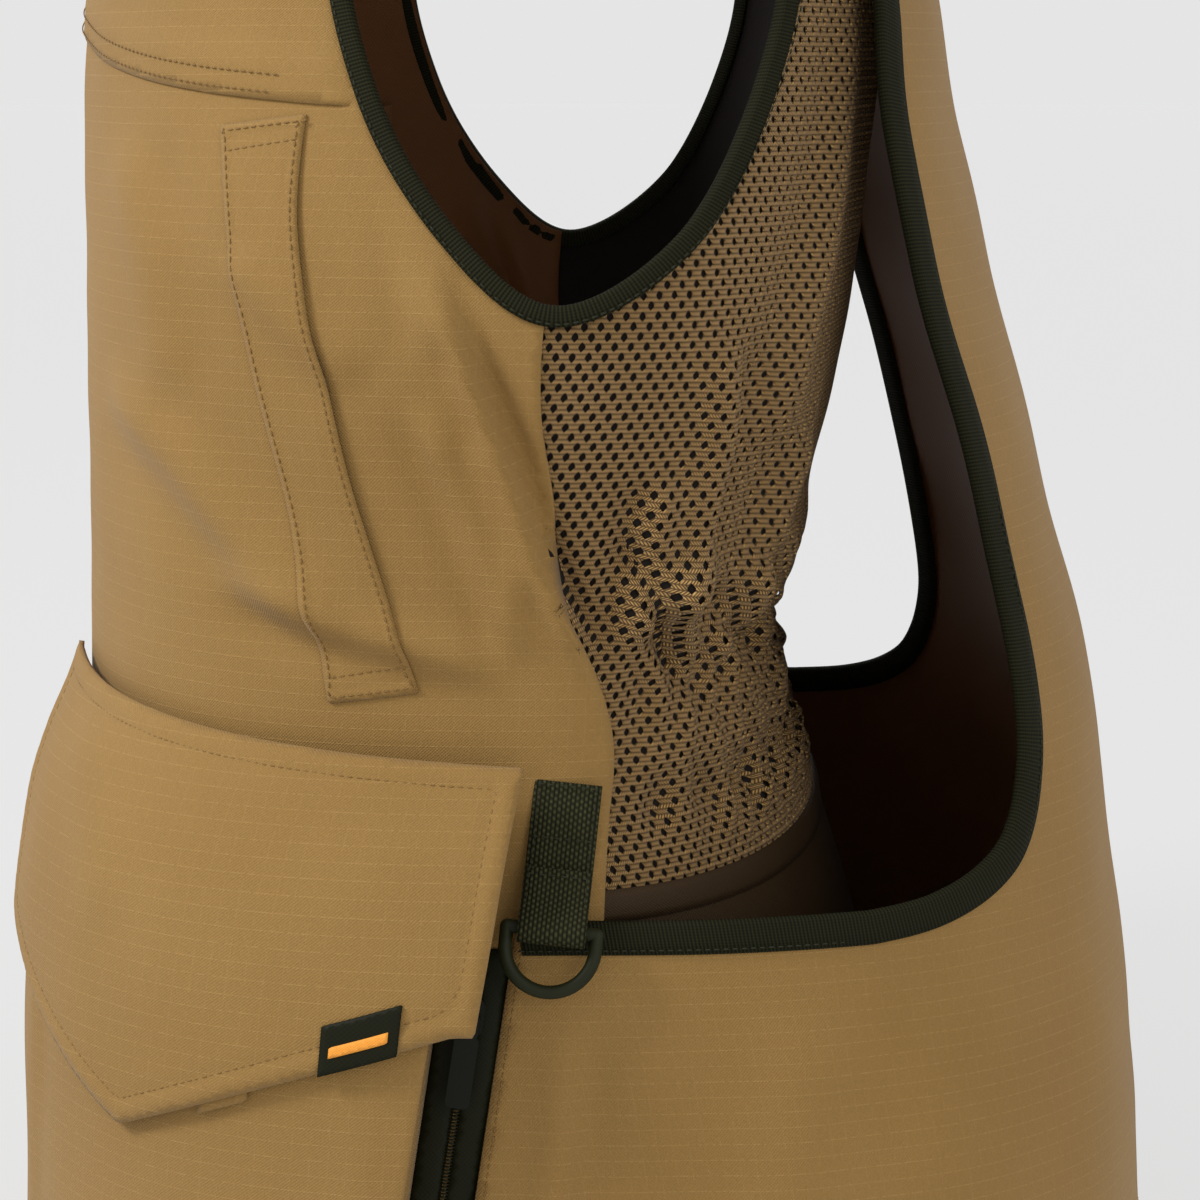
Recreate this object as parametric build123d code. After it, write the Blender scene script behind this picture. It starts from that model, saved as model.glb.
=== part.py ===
"""Field vest with a rear game bag: soft panels, bindings, zips, pockets and metal-free hardware.

Every cloth piece is cut from one of three lofted surfaces: the body, the bag that hangs behind it, and
the bellows pocket. A piece is the layer between two offsets of its surface, inside its pattern outline.
Front faces -Y, the wearer's left is +X, heights are above the hem. The origin is the hanger loop.
"""

from build123d import *
from math import cos, sin, pi, radians, atan2, degrees, copysign, hypot
import os

# ---------------------------------------------------------------- graded size of the whole garment
HEIGHT = 690.0          # hem to the neck end of the shoulder
CHEST_WIDTH = 476.0     # across, under the armholes
CHEST_DEPTH = 313.0     # front to back, under the armholes, without the bag

# The pattern below is drawn for this base size and graded to the size above.
BASE_HEIGHT, BASE_WIDTH, BASE_DEPTH = 690.0, 476.0, 313.0
GRADE_X = CHEST_WIDTH / BASE_WIDTH
GRADE_Y = CHEST_DEPTH / BASE_DEPTH
GRADE_Z = HEIGHT / BASE_HEIGHT

# ---------------------------------------------------------------- cloth, tape and clearance
LINING = 1.0            # thickness of the lining
SHELL = 2.0             # thickness of the outer cloth
MESH = 2.0              # thickness of the knitted mesh
LAYER_GAP = 0.2         # air between a piece and one laid on it
MOVING_GAP = 0.8        # air round anything that moves
BINDING_WIDTH = 12.5    # visible width of the grosgrain edge binding
BINDING_WRAP = 0.8      # how far the binding stands proud of each face
ELASTIC_WIDTH = 25.0
ELASTIC_THICK = 1.2

# ---------------------------------------------------------------- body surface (base pattern)
# height, half width, front, back, y of the widest place
BODY_STATIONS = [
    (0, 250, 215.0, 125, -40),
    (90, 244, 213.9, 118, -40),
    (180, 238, 212.8, 93, -35),
    (240, 230, 212.0, 77, -30),
    (320, 232, 211.0, 90, -20),
    (400, 238, 210.0, 103, -12),
    (460, 226, 209.2, 111, -10),
    (520, 210, 205.0, 119, -8),
    (580, 198, 192.0, 122, -4),
    (630, 184, 160.0, 116, 0),
    (665, 152, 110.0, 95, 5),
    (690, 86, 60.0, 60, 10),
]
FRONT_POWER = 2.7       # 2 is an ellipse, higher is boxier
BACK_POWER = 2.4

# height, half width, back: the outer wall of the game bag
BAG_STATIONS = [
    (0, 255, 232),
    (60, 251, 229),
    (120, 247, 222),
    (180, 243, 213),
    (240, 240, 204),
    (320, 238, 183),
    (400, 230, 160),
    (460, 220, 148),
    (520, 208, 135),
    (560, 201, 125),
]
BAG_POWER = 3.0
BAG_WIDEST_Y = -45.0
BAG_FRONT_DEPTH = 105.0

# height, how far the bellows pocket stands off the body
POCKET_STATIONS = [(0, 32), (60, 33), (120, 33), (160, 31), (200, 25), (225, 17), (250, 6), (270, 4)]

# ---------------------------------------------------------------- pattern outlines (base pattern)
# y, height
SIDE_SEAM = [(0, -5), (1, 190), (4, 240), (-3, 271), (-12, 292), (-17, 330), (-20, 397), (5, 560), (5, 720)]
ARMHOLE = [(-15, 403), (-52, 430), (-81, 480), (-92, 545), (-70, 622), (-8, 652), (52, 616), (67, 540), (58, 484),
           (30, 430)]
ARMHOLE_INNER_X = 110.0
YOKE_CENTRE_HEIGHT = 522.0     # front yoke seam at the centre front
YOKE_SLOPE = -0.19             # height lost for each millimetre outward
BACK_YOKE_HEIGHT = 548.0
SHOULDER_SEAM_Y = 5.0
NECK_POINT_HEIGHT = 478.0      # bottom of the V
NECK_HALF_WIDTH = 86.0
BACK_NECK_DROP = 42.0
NECK_SCOOP_SHARE = 0.55        # of the neck's width, flat at the bottom of the back scoop
MESH_BOTTOM = 185.0
ELASTIC_HEIGHT = 242.0
BAG_TOP = 560.0
# x, height of the bag's side opening: the edge that the binding wraps
OPENING = [(400, 178), (228, 178), (212, 184), (196, 199), (186, 222), (181, 252), (180, 300), (177, 394),
           (172, 470), (160, 515), (148, 550), (140, 620), (400, 620)]

# Welt of the slanted hand pocket: y, height
WELT = [(-136, 466), (-104, 470), (-107, 436), (-98, 382), (-86, 330), (-66, 262), (-99, 257), (-122, 366),
        (-134, 430)]
WELT_THICK = 1.8
POCKET_BAG = [(-104, 468), (-66, 250), (-150, 262), (-186, 330), (-170, 440), (-136, 464)]

# Bellows pocket and flap, measured along the chord that joins the pocket's two ends
CHORD_FRONT = (96.0, -209.0)    # x, y
CHORD_SIDE = (254.0, -36.0)
POCKET_BOTTOM, POCKET_TOP = 14.0, 216.0
POCKET_WALL = 2.0
POCKET_REAR_DROP = (56.0, 100.0, 21.0)   # along the chord, where the top edge starts and ends its drop, and the drop
POCKET_INSET = 12.0             # how far the pocket's front end lies inside the flap's front end
POCKET_ZIP_GAP = 2.0            # between the pocket's rear end and the side zip's tape
FLAP_THICK = 2.6
FLAP_GAP = 1.6                  # between the flap and the pocket under it
FLAP_TOP_FRONT, FLAP_TOP_SIDE = 256.0, 236.0
FLAP_END_FRONT, FLAP_END_SIDE = 150.0, 143.0
FLAP_POINT = 97.0
FLAP_REAR_TOP_Y, FLAP_REAR_LOW_Y = -27.5, -45.0
# Name tab on the flap's lower edge and pull tab under it: distance along the chord, width, height
NAME_TAB = (80.0, 23.0, 17.5)
PULL_TAB = (36.0, 19.0, 16.0)
PULL_TAB_SHOWS = 3.5
TAB_THICK = 0.8

# ---------------------------------------------------------------- zips
FRONT_ZIP_BOTTOM, FRONT_ZIP_TOP = 14.0, 441.0
FRONT_TAPE_HALF = 8.0
TOOTH_HALF = 2.8
TOOTH_PROUD = 2.6
SIDE_ZIP_TOP = (-44.0, 168.0)   # y, height
SIDE_ZIP_BOTTOM = (-68.0, 10.0)
SIDE_TAPE_HALF = 12.0
SIDE_COIL_HALF = 2.2
TAPE_THICK = 0.8
COIL_THICK = 2.0
SLIDER_LENGTH, SLIDER_WIDTH, SLIDER_THICK = 15.0, 10.0, 2.4
SIDE_SLIDER_LIFT = 1.2          # more air under the side slider, whose straight track spans a curved seam
SIDE_SLIDER_BELOW = 24.0        # from the side zip's top to its slider's middle
PULL_BAR_PLAY = 0.3             # between the pull's bar and its hole
PULL_EAR = 1.6                  # thickness of the pull's ears
CROWN_LENGTH, CROWN_WIDTH, CROWN_HEIGHT = 9.0, 3.4, 3.6
CROWN_HOLE = 1.4
PULL_LENGTH, PULL_WIDTH, PULL_THICK = 34.0, 9.0, 1.8

# ---------------------------------------------------------------- webbing strap and D-ring
WEBBING_WIDTH, WEBBING_THICK = 25.0, 2.0
STRAP_TOP = (-11.5, 230.0)      # y, height of the top edge's middle
STRAP_LOOP = (-17.5, 178.0)     # y, height of the D-ring's bar
RING_WIRE = 2.5                 # radius of the ring's bar
RING_CLEAR = 0.4                # between the bar and the webbing loop
RING_SIDE_CLEAR = 1.5           # between the webbing's edge and the ring's leg
RING_LEG = 6.0

# ---------------------------------------------------------------- hanger loop inside the back neck
LOOP_HEIGHT = 636.0
LOOP_RADIUS = 22.0
LOOP_TAPE = 2.0
LOOP_DEPTH = 8.0
LOOP_LEG = 12.0

FAR = 600.0                     # past every face of the garment
SECTION_POINTS = 28


def smooth(stations, column, height):
    """A value of the station table at a height, by cubic steps that pass through each station."""
    last = len(stations) - 2
    index = max(i for i in range(last + 1) if i == 0 or stations[i][0] <= height)
    near = [stations[min(max(index + step, 0), last + 1)] for step in (-1, 0, 1, 2)]
    before, low, high, after = near
    span = high[0] - low[0]
    share = (height - low[0]) / span
    slope_low = (high[column] - before[column]) / (high[0] - before[0]) * span
    slope_high = (after[column] - low[column]) / (after[0] - low[0]) * span
    rise = high[column] - low[column]
    return low[column] + share * (
        slope_low + share * (3 * rise - 2 * slope_low - slope_high + share * (slope_low + slope_high - 2 * rise))
    )


def ring_face(height, half_width, front, back, widest_y, front_power, back_power):
    """A horizontal section: two half super-ellipses that meet at the widest place."""
    points = []
    for step in range(SECTION_POINTS):
        angle = -pi / 2 + 2 * pi * step / SECTION_POINTS
        across, along = cos(angle), sin(angle)
        power = back_power if along > 0 else front_power
        depth = back - widest_y if along > 0 else front + widest_y
        x = copysign(abs(across) ** (2 / power), across) * half_width
        y = widest_y + copysign(abs(along) ** (2 / power), along) * depth
        points.append((x, y, height))
    return Face(Wire([Edge.make_spline([Vector(*p) for p in points], periodic=True)]))


def body_face(height, grow):
    """The body's section at a base height, grown outward."""
    half_width, front, back, widest_y = [smooth(BODY_STATIONS, i, height) for i in (1, 2, 3, 4)]
    return ring_face(
        height * GRADE_Z,
        half_width * GRADE_X + grow,
        front * GRADE_Y + grow,
        back * GRADE_Y + grow,
        widest_y * GRADE_Y,
        FRONT_POWER,
        BACK_POWER,
    )


def body(grow):
    """Everything inside the body surface, grown outward."""
    return loft([body_face(station[0], grow) for station in BODY_STATIONS])


def bag(grow):
    """Everything inside the bag's outer wall, grown outward."""
    faces = []
    for height, half_width, back in BAG_STATIONS:
        faces.append(
            ring_face(
                height * GRADE_Z,
                half_width * GRADE_X + grow,
                (BAG_FRONT_DEPTH - BAG_WIDEST_Y) * GRADE_Y + grow,
                back * GRADE_Y + grow,
                BAG_WIDEST_Y * GRADE_Y,
                FRONT_POWER,
                BAG_POWER,
            )
        )
    return loft(faces)


def pocket(grow):
    """Everything inside the front of the bellows pocket, grown outward."""
    return loft([body_face(height, swell + grow) for height, swell in POCKET_STATIONS])


def side_points(points):
    """Base pattern points of a side view, graded."""
    return [(y * GRADE_Y, z * GRADE_Z) for y, z in points]


def front_points(points):
    """Base pattern points of a front view, graded."""
    return [(x * GRADE_X, z * GRADE_Z) for x, z in points]


def side_prism(points, low=0.0, high=FAR):
    """A straight-edged outline of the side view, carried across X."""
    return extrude(Plane.YZ.offset(low) * make_face(Polyline(*points, points[0])), high - low)


def front_prism(points, low=-FAR, high=FAR):
    """A straight-edged outline of the front view, carried along Y from low to high."""
    face = Plane.XZ.offset(-high) * make_face(Polyline(*points, points[0]))
    return extrude(face, high - low)


def slab(low, high):
    """Everything between two heights."""
    return Pos(0, 0, (low + high) / 2) * Box(2 * FAR, 2 * FAR, high - low)


def grown(points, amount):
    """A closed outline moved outward, each point along its own normal."""
    moved = []
    count = len(points)
    turn = sum(
        points[i][0] * points[(i + 1) % count][1] - points[(i + 1) % count][0] * points[i][1] for i in range(count)
    )
    side = copysign(1.0, turn)
    for i, (u, v) in enumerate(points):
        du = points[(i + 1) % count][0] - points[i - 1][0]
        dv = points[(i + 1) % count][1] - points[i - 1][1]
        length = hypot(du, dv)
        moved.append((u + side * dv / length * amount, v - side * du / length * amount))
    return moved


def mirrored(shape):
    """The right-hand twin of a left-hand piece."""
    return mirror(shape, about=Plane.YZ)


def grosgrain_wrap(inner, outer):
    """The layer that a binding fills on the body: it wraps both faces of the cloth."""
    return body(outer + BINDING_WRAP) - body(inner - BINDING_WRAP)


# ---------------------------------------------------------------- cloth layers of the body
outer_face = LINING + SHELL
body_inner = body(0)
body_lining_top = body(LINING)
body_outer = body(outer_face)
lining_layer = body_lining_top - body_inner
shell_layer = body_outer - body_lining_top
mesh_layer = body(MESH) - body_inner
wrap_layer = grosgrain_wrap(0, outer_face)

# ---------------------------------------------------------------- cutting outlines
armhole_edge = side_points(ARMHOLE)
armhole_cut = extrude(
    Plane.YZ.offset(ARMHOLE_INNER_X * GRADE_X) * make_face(Spline(*armhole_edge, periodic=True)), FAR
)
armhole_cut_wide = extrude(
    Plane.YZ.offset(ARMHOLE_INNER_X * GRADE_X) * make_face(Spline(*grown(armhole_edge, BINDING_WIDTH), periodic=True)),
    FAR,
)
armhole_cuts_wide = armhole_cut_wide + mirrored(armhole_cut_wide)

seam_line = side_points(SIDE_SEAM)
behind_seam = side_prism(seam_line + [(FAR, seam_line[-1][1]), (FAR, seam_line[0][1])], -FAR, FAR)
ahead_of_seam = side_prism(seam_line + [(-FAR, seam_line[-1][1]), (-FAR, seam_line[0][1])], 0, FAR)

shoulder_y = SHOULDER_SEAM_Y * GRADE_Y
neck_width = NECK_HALF_WIDTH * GRADE_X
neck_point = NECK_POINT_HEIGHT * GRADE_Z
back_neck = HEIGHT - BACK_NECK_DROP
overshoot = 60.0


def neck_cut(widen):
    """The V in front and the shallow scoop behind, widened by the binding."""
    lean = hypot(neck_width, HEIGHT - neck_point)
    drop = widen * lean / neck_width
    rise_width = neck_width * (1 + overshoot / (HEIGHT - neck_point))
    vee = [(0, neck_point - drop), (rise_width, HEIGHT + overshoot - drop), (-rise_width, HEIGHT + overshoot - drop)]
    scoop = [
        (-neck_width - widen, HEIGHT + overshoot),
        (-neck_width - widen, HEIGHT),
        (-neck_width * NECK_SCOOP_SHARE, back_neck - widen),
        (neck_width * NECK_SCOOP_SHARE, back_neck - widen),
        (neck_width + widen, HEIGHT),
        (neck_width + widen, HEIGHT + overshoot),
    ]
    return front_prism(vee, -FAR, shoulder_y) + front_prism(scoop, shoulder_y, FAR)


neck_opening = neck_cut(0)
neck_wide = neck_cut(BINDING_WIDTH)


def yoke_height(x):
    """Height of the front yoke seam at a place across the front."""
    return (YOKE_CENTRE_HEIGHT + YOKE_SLOPE * x / GRADE_X) * GRADE_Z


below_yoke = front_prism([(0, -overshoot), (FAR, -overshoot), (FAR, yoke_height(FAR)), (0, yoke_height(0))])
above_yoke = front_prism([(0, HEIGHT + overshoot), (FAR, HEIGHT + overshoot), (FAR, yoke_height(FAR)),
                          (0, yoke_height(0))])
left_of_zip = Pos(FRONT_TAPE_HALF + FAR / 2, 0, HEIGHT / 2) * Box(FAR, 2 * FAR, 2 * HEIGHT)

parts = {}

# ---------------------------------------------------------------- front panels, yokes and linings
front_region = (ahead_of_seam & left_of_zip) - armhole_cut_wide - neck_wide
front_panel = shell_layer & front_region & below_yoke
front_yoke = shell_layer & front_region & above_yoke
front_lining = lining_layer & front_region
parts["front_panel_left"] = front_panel
parts["front_yoke_left"] = front_yoke
parts["front_lining_left"] = front_lining

# ---------------------------------------------------------------- back yoke, mesh back, elastic, inner bag wall
back_region = behind_seam - armhole_cuts_wide - neck_wide
back_yoke_height = BACK_YOKE_HEIGHT * GRADE_Z
mesh_bottom = MESH_BOTTOM * GRADE_Z
elastic_bottom = ELASTIC_HEIGHT * GRADE_Z
parts["back_yoke"] = (shell_layer & back_region) & slab(back_yoke_height, HEIGHT)
parts["back_yoke_lining"] = (lining_layer & back_region) & slab(back_yoke_height, HEIGHT)
parts["mesh_back_panel"] = (mesh_layer & back_region) & slab(mesh_bottom, back_yoke_height)
parts["inner_bag_wall"] = (mesh_layer & behind_seam) & slab(0, mesh_bottom)
parts["waist_elastic"] = (
    (body(-LAYER_GAP) - body(-LAYER_GAP - ELASTIC_THICK)) & behind_seam
) & slab(elastic_bottom, elastic_bottom + ELASTIC_WIDTH)

# ---------------------------------------------------------------- edge bindings of the body
armhole_band = armhole_cut_wide - armhole_cut
parts["armhole_binding_left"] = wrap_layer & armhole_band
parts["neck_binding"] = wrap_layer & (neck_wide - neck_opening)

# ---------------------------------------------------------------- game bag
bag_inner = bag(0)
bag_outer = bag(SHELL)
bag_lining_inner = bag(-LINING)
zip_top_y, zip_top_z = side_points([SIDE_ZIP_TOP])[0]
zip_bottom_y, zip_bottom_z = side_points([SIDE_ZIP_BOTTOM])[0]
zip_lean = (zip_top_y - zip_bottom_y) / (zip_top_z - zip_bottom_z)


def zip_y(height, aside=0.0):
    """Y of the side zip's centre line at a height, moved aside by a distance."""
    return zip_bottom_y + (height - zip_bottom_z) * zip_lean + aside


behind_zip = side_prism(
    [(zip_y(-overshoot, SIDE_TAPE_HALF), -overshoot), (zip_y(HEIGHT, SIDE_TAPE_HALF), HEIGHT), (FAR, HEIGHT),
     (FAR, -overshoot)],
    -FAR,
    FAR,
)
opening_edge = front_points(OPENING)
opening_cut = front_prism(opening_edge, BAG_WIDEST_Y * GRADE_Y - BAG_FRONT_DEPTH)
opening_cut_wide = front_prism(grown(opening_edge, BINDING_WIDTH), BAG_WIDEST_Y * GRADE_Y - BAG_FRONT_DEPTH)
opening_cuts_wide = opening_cut_wide + mirrored(opening_cut_wide)
bag_region = (behind_zip & slab(0, BAG_TOP * GRADE_Z)) - opening_cuts_wide
parts["bag_outer_panel"] = (bag_outer - bag_inner) & bag_region
parts["bag_lining"] = ((bag_inner - bag_lining_inner) & bag_region) - body(outer_face + LAYER_GAP)
parts["bag_lining"] = parts["bag_lining"] - parts["back_yoke"]
parts["opening_binding_left"] = (
    (bag(SHELL + BINDING_WRAP) - bag(-LINING - BINDING_WRAP)) & (opening_cut_wide - opening_cut) & behind_zip
)
parts["bag_floor"] = ((bag_lining_inner - body_outer) & behind_zip) & slab(0, SHELL)

# ---------------------------------------------------------------- slanted hand pockets
welt_layer = body(outer_face + LAYER_GAP + WELT_THICK) - body(outer_face + LAYER_GAP)
parts["hand_pocket_welt_left"] = welt_layer & side_prism(side_points(WELT))
parts["hand_pocket_bag_left"] = (body(-LAYER_GAP) - body(-LAYER_GAP - LINING)) & side_prism(side_points(POCKET_BAG))

# ---------------------------------------------------------------- bellows pocket and its flap
front_x, front_y = CHORD_FRONT[0] * GRADE_X, CHORD_FRONT[1] * GRADE_Y
side_x, side_y = CHORD_SIDE[0] * GRADE_X, CHORD_SIDE[1] * GRADE_Y
chord = hypot(side_x - front_x, side_y - front_y)
chord_angle = degrees(atan2(side_y - front_y, side_x - front_x))
chord_frame = Plane(
    origin=((front_x + side_x) / 2, (front_y + side_y) / 2, 0),
    x_dir=(cos(radians(chord_angle)), sin(radians(chord_angle)), 0),
    z_dir=(sin(radians(chord_angle)), -cos(radians(chord_angle)), 0),
)


def chord_prism(points):
    """An outline drawn along the chord and up, carried outward from the body's middle."""
    inward = 60.0
    return extrude(chord_frame.offset(-inward) * make_face(Polyline(*points, points[0])), FAR / 2)


chord_half = chord / 2
pocket_front = -chord_half + POCKET_INSET
pocket_low, pocket_high = POCKET_BOTTOM * GRADE_Z, POCKET_TOP * GRADE_Z


def ahead_of_zip(inset):
    """Everything in front of the pocket's rear end, which runs beside the zip's tape."""
    aside = -SIDE_TAPE_HALF - POCKET_ZIP_GAP - inset
    return side_prism(
        [(zip_y(-overshoot, aside), -overshoot), (zip_y(HEIGHT, aside), HEIGHT), (-FAR, HEIGHT), (-FAR, -overshoot)]
    )


def pocket_region(inset, top):
    """The pocket's outline, inset by its wall, up to a height."""
    drop_from, drop_to, drop = POCKET_REAR_DROP
    outline = [(pocket_front + inset, pocket_low + inset), (FAR, pocket_low + inset), (FAR, top - drop),
               (drop_to, top - drop), (drop_from, top), (pocket_front + inset, top)]
    return chord_prism(outline) & ahead_of_zip(inset)


pocket_base = outer_face + LAYER_GAP
pocket_block = (pocket(0) - body(pocket_base)) & pocket_region(0, pocket_high)
pocket_room = pocket(-POCKET_WALL) & pocket_region(POCKET_WALL, HEIGHT)
parts["cargo_pocket_left"] = pocket_block - pocket_room


def flap_edge(along):
    """Height of the flap's pointed lower edge on its rear half."""
    return (FLAP_POINT + (FLAP_END_SIDE - FLAP_POINT) * along / chord_half) * GRADE_Z


def tab_prism(tab, drop):
    """A small tab whose lower edge runs along the flap's edge, lowered by a drop."""
    start, width, height = tab
    low, high = flap_edge(start) - drop, flap_edge(start + width) - drop
    return chord_prism([(start, low), (start + width, high), (start + width, high + height), (start, low + height)])


flap_back = FLAP_GAP
flap_front = FLAP_GAP + FLAP_THICK
flap_top_slope = (FLAP_TOP_SIDE - FLAP_TOP_FRONT) / chord
past_end = chord_half * 1.5
flap_outline = [
    (-chord_half, FLAP_TOP_FRONT * GRADE_Z),
    (past_end, (FLAP_TOP_SIDE + flap_top_slope * (past_end - chord_half)) * GRADE_Z),
    (past_end, flap_edge(past_end)),
    (0, flap_edge(0)),
    (-chord_half, FLAP_END_FRONT * GRADE_Z),
]
rear_slope = (FLAP_REAR_TOP_Y - FLAP_REAR_LOW_Y) / (FLAP_TOP_SIDE - FLAP_END_SIDE)
flap_rear = [
    (FLAP_REAR_LOW_Y - rear_slope * (FLAP_END_SIDE + overshoot), -overshoot),
    (FLAP_REAR_TOP_Y + rear_slope * (BASE_HEIGHT - FLAP_TOP_SIDE), BASE_HEIGHT),
    (-FAR, BASE_HEIGHT),
    (-FAR, -overshoot),
]
parts["cargo_flap_left"] = (
    (pocket(flap_front) - pocket(flap_back)) & chord_prism(flap_outline) & side_prism(side_points(flap_rear))
)
tab_base = flap_front + LAYER_GAP
parts["name_tab"] = (pocket(tab_base + TAB_THICK) - pocket(tab_base)) & tab_prism(NAME_TAB, 0)
pull_top = flap_back - LAYER_GAP
parts["flap_pull_tab_left"] = (pocket(pull_top) - pocket(pull_top - TAB_THICK)) & tab_prism(PULL_TAB, PULL_TAB_SHOWS)

# ---------------------------------------------------------------- front zip
zip_band = slab(FRONT_ZIP_BOTTOM * GRADE_Z, FRONT_ZIP_TOP * GRADE_Z)
front_half = Pos(0, -FAR / 2, HEIGHT / 2) * Box(2 * FAR, FAR, 2 * HEIGHT)
tooth_gap = 0.15


def front_strip(layer, low_x, high_x):
    """The part of a layer between two distances from the centre front, as long as the zip."""
    strip = Pos((low_x + high_x) / 2, 0, HEIGHT / 2) * Box(high_x - low_x, 2 * FAR, 2 * HEIGHT)
    return ((layer & strip) & zip_band) & front_half


tape_middle = outer_face / 2
tape_layer = body(tape_middle + TAPE_THICK / 2) - body(tape_middle - TAPE_THICK / 2)
tooth_layer = body(outer_face - tape_middle + TOOTH_PROUD / 2) - body(tape_middle - TOOTH_PROUD / 2)
parts["front_zip_tape_left"] = front_strip(tape_layer, TOOTH_HALF, FRONT_TAPE_HALF)
parts["front_zip_teeth_left"] = front_strip(tooth_layer, tooth_gap, TOOTH_HALF)


def slider_parts(frame, chain_face):
    """A slider and its pull on a frame whose x runs across the zip, y up it and z outward."""
    plate_z = chain_face + MOVING_GAP
    plate = Pos(0, 0, plate_z + SLIDER_THICK / 2) * Box(SLIDER_WIDTH, SLIDER_LENGTH, SLIDER_THICK)
    plate = fillet(plate.edges().filter_by(Axis.Z), SLIDER_WIDTH / 3)
    hinge_z = plate_z + SLIDER_THICK + CROWN_HEIGHT / 2
    crown = Pos(0, 0, plate_z + SLIDER_THICK + CROWN_HEIGHT / 2) * Box(CROWN_WIDTH, CROWN_LENGTH, CROWN_HEIGHT)
    hole = Pos(0, 0, hinge_z) * Rot(0, 90, 0) * Cylinder(CROWN_HOLE, CROWN_WIDTH * 2)
    slider = (plate + crown) - hole
    bar_radius = CROWN_HOLE - PULL_BAR_PLAY
    ear = PULL_EAR
    half = CROWN_WIDTH / 2 + MOVING_GAP / 2 + ear
    bar = Pos(0, 0, hinge_z) * Rot(0, 90, 0) * Cylinder(bar_radius, 2 * half)
    arm_length = CROWN_LENGTH / 2 + MOVING_GAP + bar_radius
    arms = Part()
    for side in (-1, 1):
        x = side * (half - ear / 2)
        arms += Pos(x, -arm_length / 2, hinge_z) * Box(ear, arm_length + 2 * bar_radius, PULL_THICK)
    tongue_length = PULL_LENGTH - arm_length
    tongue = Pos(0, -arm_length - tongue_length / 2, hinge_z) * Box(PULL_WIDTH, tongue_length, PULL_THICK)
    tongue = fillet(tongue.edges().filter_by(Axis.Z), PULL_WIDTH / 4)
    pull = bar + arms + tongue
    return frame.location * slider, frame.location * pull, frame.from_local_coords(Vector(0, 0, hinge_z))


def front_at(height):
    """Y of the body's front at a base height, before any offset."""
    return -smooth(BODY_STATIONS, 2, height) * GRADE_Y


track_low, track_high = FRONT_ZIP_BOTTOM, FRONT_ZIP_TOP - SLIDER_LENGTH
front_run = Vector(0, front_at(track_low) - front_at(track_high), (track_low - track_high) * GRADE_Z)
front_down = front_run.normalized()
front_top = (0, front_at(track_high), track_high * GRADE_Z)
front_frame = Plane(origin=front_top, x_dir=(1, 0, 0), z_dir=Vector(1, 0, 0).cross(-front_down))
tooth_face = outer_face - tape_middle + TOOTH_PROUD / 2
front_slider, front_pull, front_hinge = slider_parts(front_frame, tooth_face)
parts["front_zip_slider"] = front_slider
parts["front_zip_pull"] = front_pull

# ---------------------------------------------------------------- side zips
coil_base = outer_face + LAYER_GAP
side_tape_layer = body(coil_base + TAPE_THICK) - body(coil_base)
side_coil_layer = body(coil_base + COIL_THICK) - body(coil_base)


def zip_strip(low_side, high_side):
    """The band between two distances from the side zip's centre line."""
    return side_prism(
        [(zip_y(zip_bottom_z, low_side), zip_bottom_z), (zip_y(zip_top_z, low_side), zip_top_z),
         (zip_y(zip_top_z, high_side), zip_top_z), (zip_y(zip_bottom_z, high_side), zip_bottom_z)]
    )


parts["side_zip_tapes_left"] = side_tape_layer & (
    zip_strip(-SIDE_TAPE_HALF, -SIDE_COIL_HALF) + zip_strip(SIDE_COIL_HALF, SIDE_TAPE_HALF - LAYER_GAP)
)
parts["side_zip_coil_left"] = side_coil_layer & zip_strip(-SIDE_COIL_HALF, SIDE_COIL_HALF)


def body_x(y, height, grow):
    """X of the body's left face at a graded y and height."""
    base = height / GRADE_Z
    half_width, front, back, widest_y = [smooth(BODY_STATIONS, i, base) for i in (1, 2, 3, 4)]
    ahead = y < widest_y * GRADE_Y
    power = FRONT_POWER if ahead else BACK_POWER
    depth = (front + widest_y if ahead else back - widest_y) * GRADE_Y + grow
    share = abs(y - widest_y * GRADE_Y) / depth
    return (half_width * GRADE_X + grow) * (1 - share**power) ** (1 / power)


slider_start = zip_top_z - SIDE_SLIDER_BELOW
slider_stop = zip_bottom_z + SLIDER_LENGTH
zip_from = Vector(body_x(zip_y(slider_start), slider_start, 0), zip_y(slider_start), slider_start)
zip_to = Vector(body_x(zip_y(slider_stop), slider_stop, 0), zip_y(slider_stop), slider_stop)
side_down = (zip_to - zip_from).normalized()
side_across = Vector(0, 1, 0) - side_down * side_down.dot(Vector(0, 1, 0))
side_frame = Plane(origin=zip_from, x_dir=side_across.normalized(), z_dir=side_across.cross(-side_down).normalized())
side_slider, side_pull, side_hinge = slider_parts(side_frame, coil_base + COIL_THICK + SIDE_SLIDER_LIFT)
parts["side_zip_slider_left"] = side_slider
parts["side_zip_pull_left"] = side_pull

# ---------------------------------------------------------------- webbing strap and D-ring
top_y, top_z = side_points([STRAP_TOP])[0]
loop_y, loop_z = side_points([STRAP_LOOP])[0]
loop_inner = RING_WIRE + RING_CLEAR
loop_outer = loop_inner + WEBBING_THICK
bag_face_x = smooth(BAG_STATIONS, 1, STRAP_LOOP[1]) * GRADE_X + SHELL + BINDING_WRAP
loop_centre = Vector(bag_face_x + MOVING_GAP + loop_outer, loop_y, loop_z)
strap_top = Vector(body_x(top_y, top_z, outer_face) + LAYER_GAP + loop_outer, top_y, top_z)
strap_up = (strap_top - loop_centre).normalized()
strap_across = Vector(0, 1, 0) - strap_up * strap_up.dot(Vector(0, 1, 0))
strap_frame = Plane(
    origin=loop_centre, x_dir=strap_across.normalized(), z_dir=strap_across.cross(strap_up).normalized()
)
strap_length = (strap_top - loop_centre).length
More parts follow.
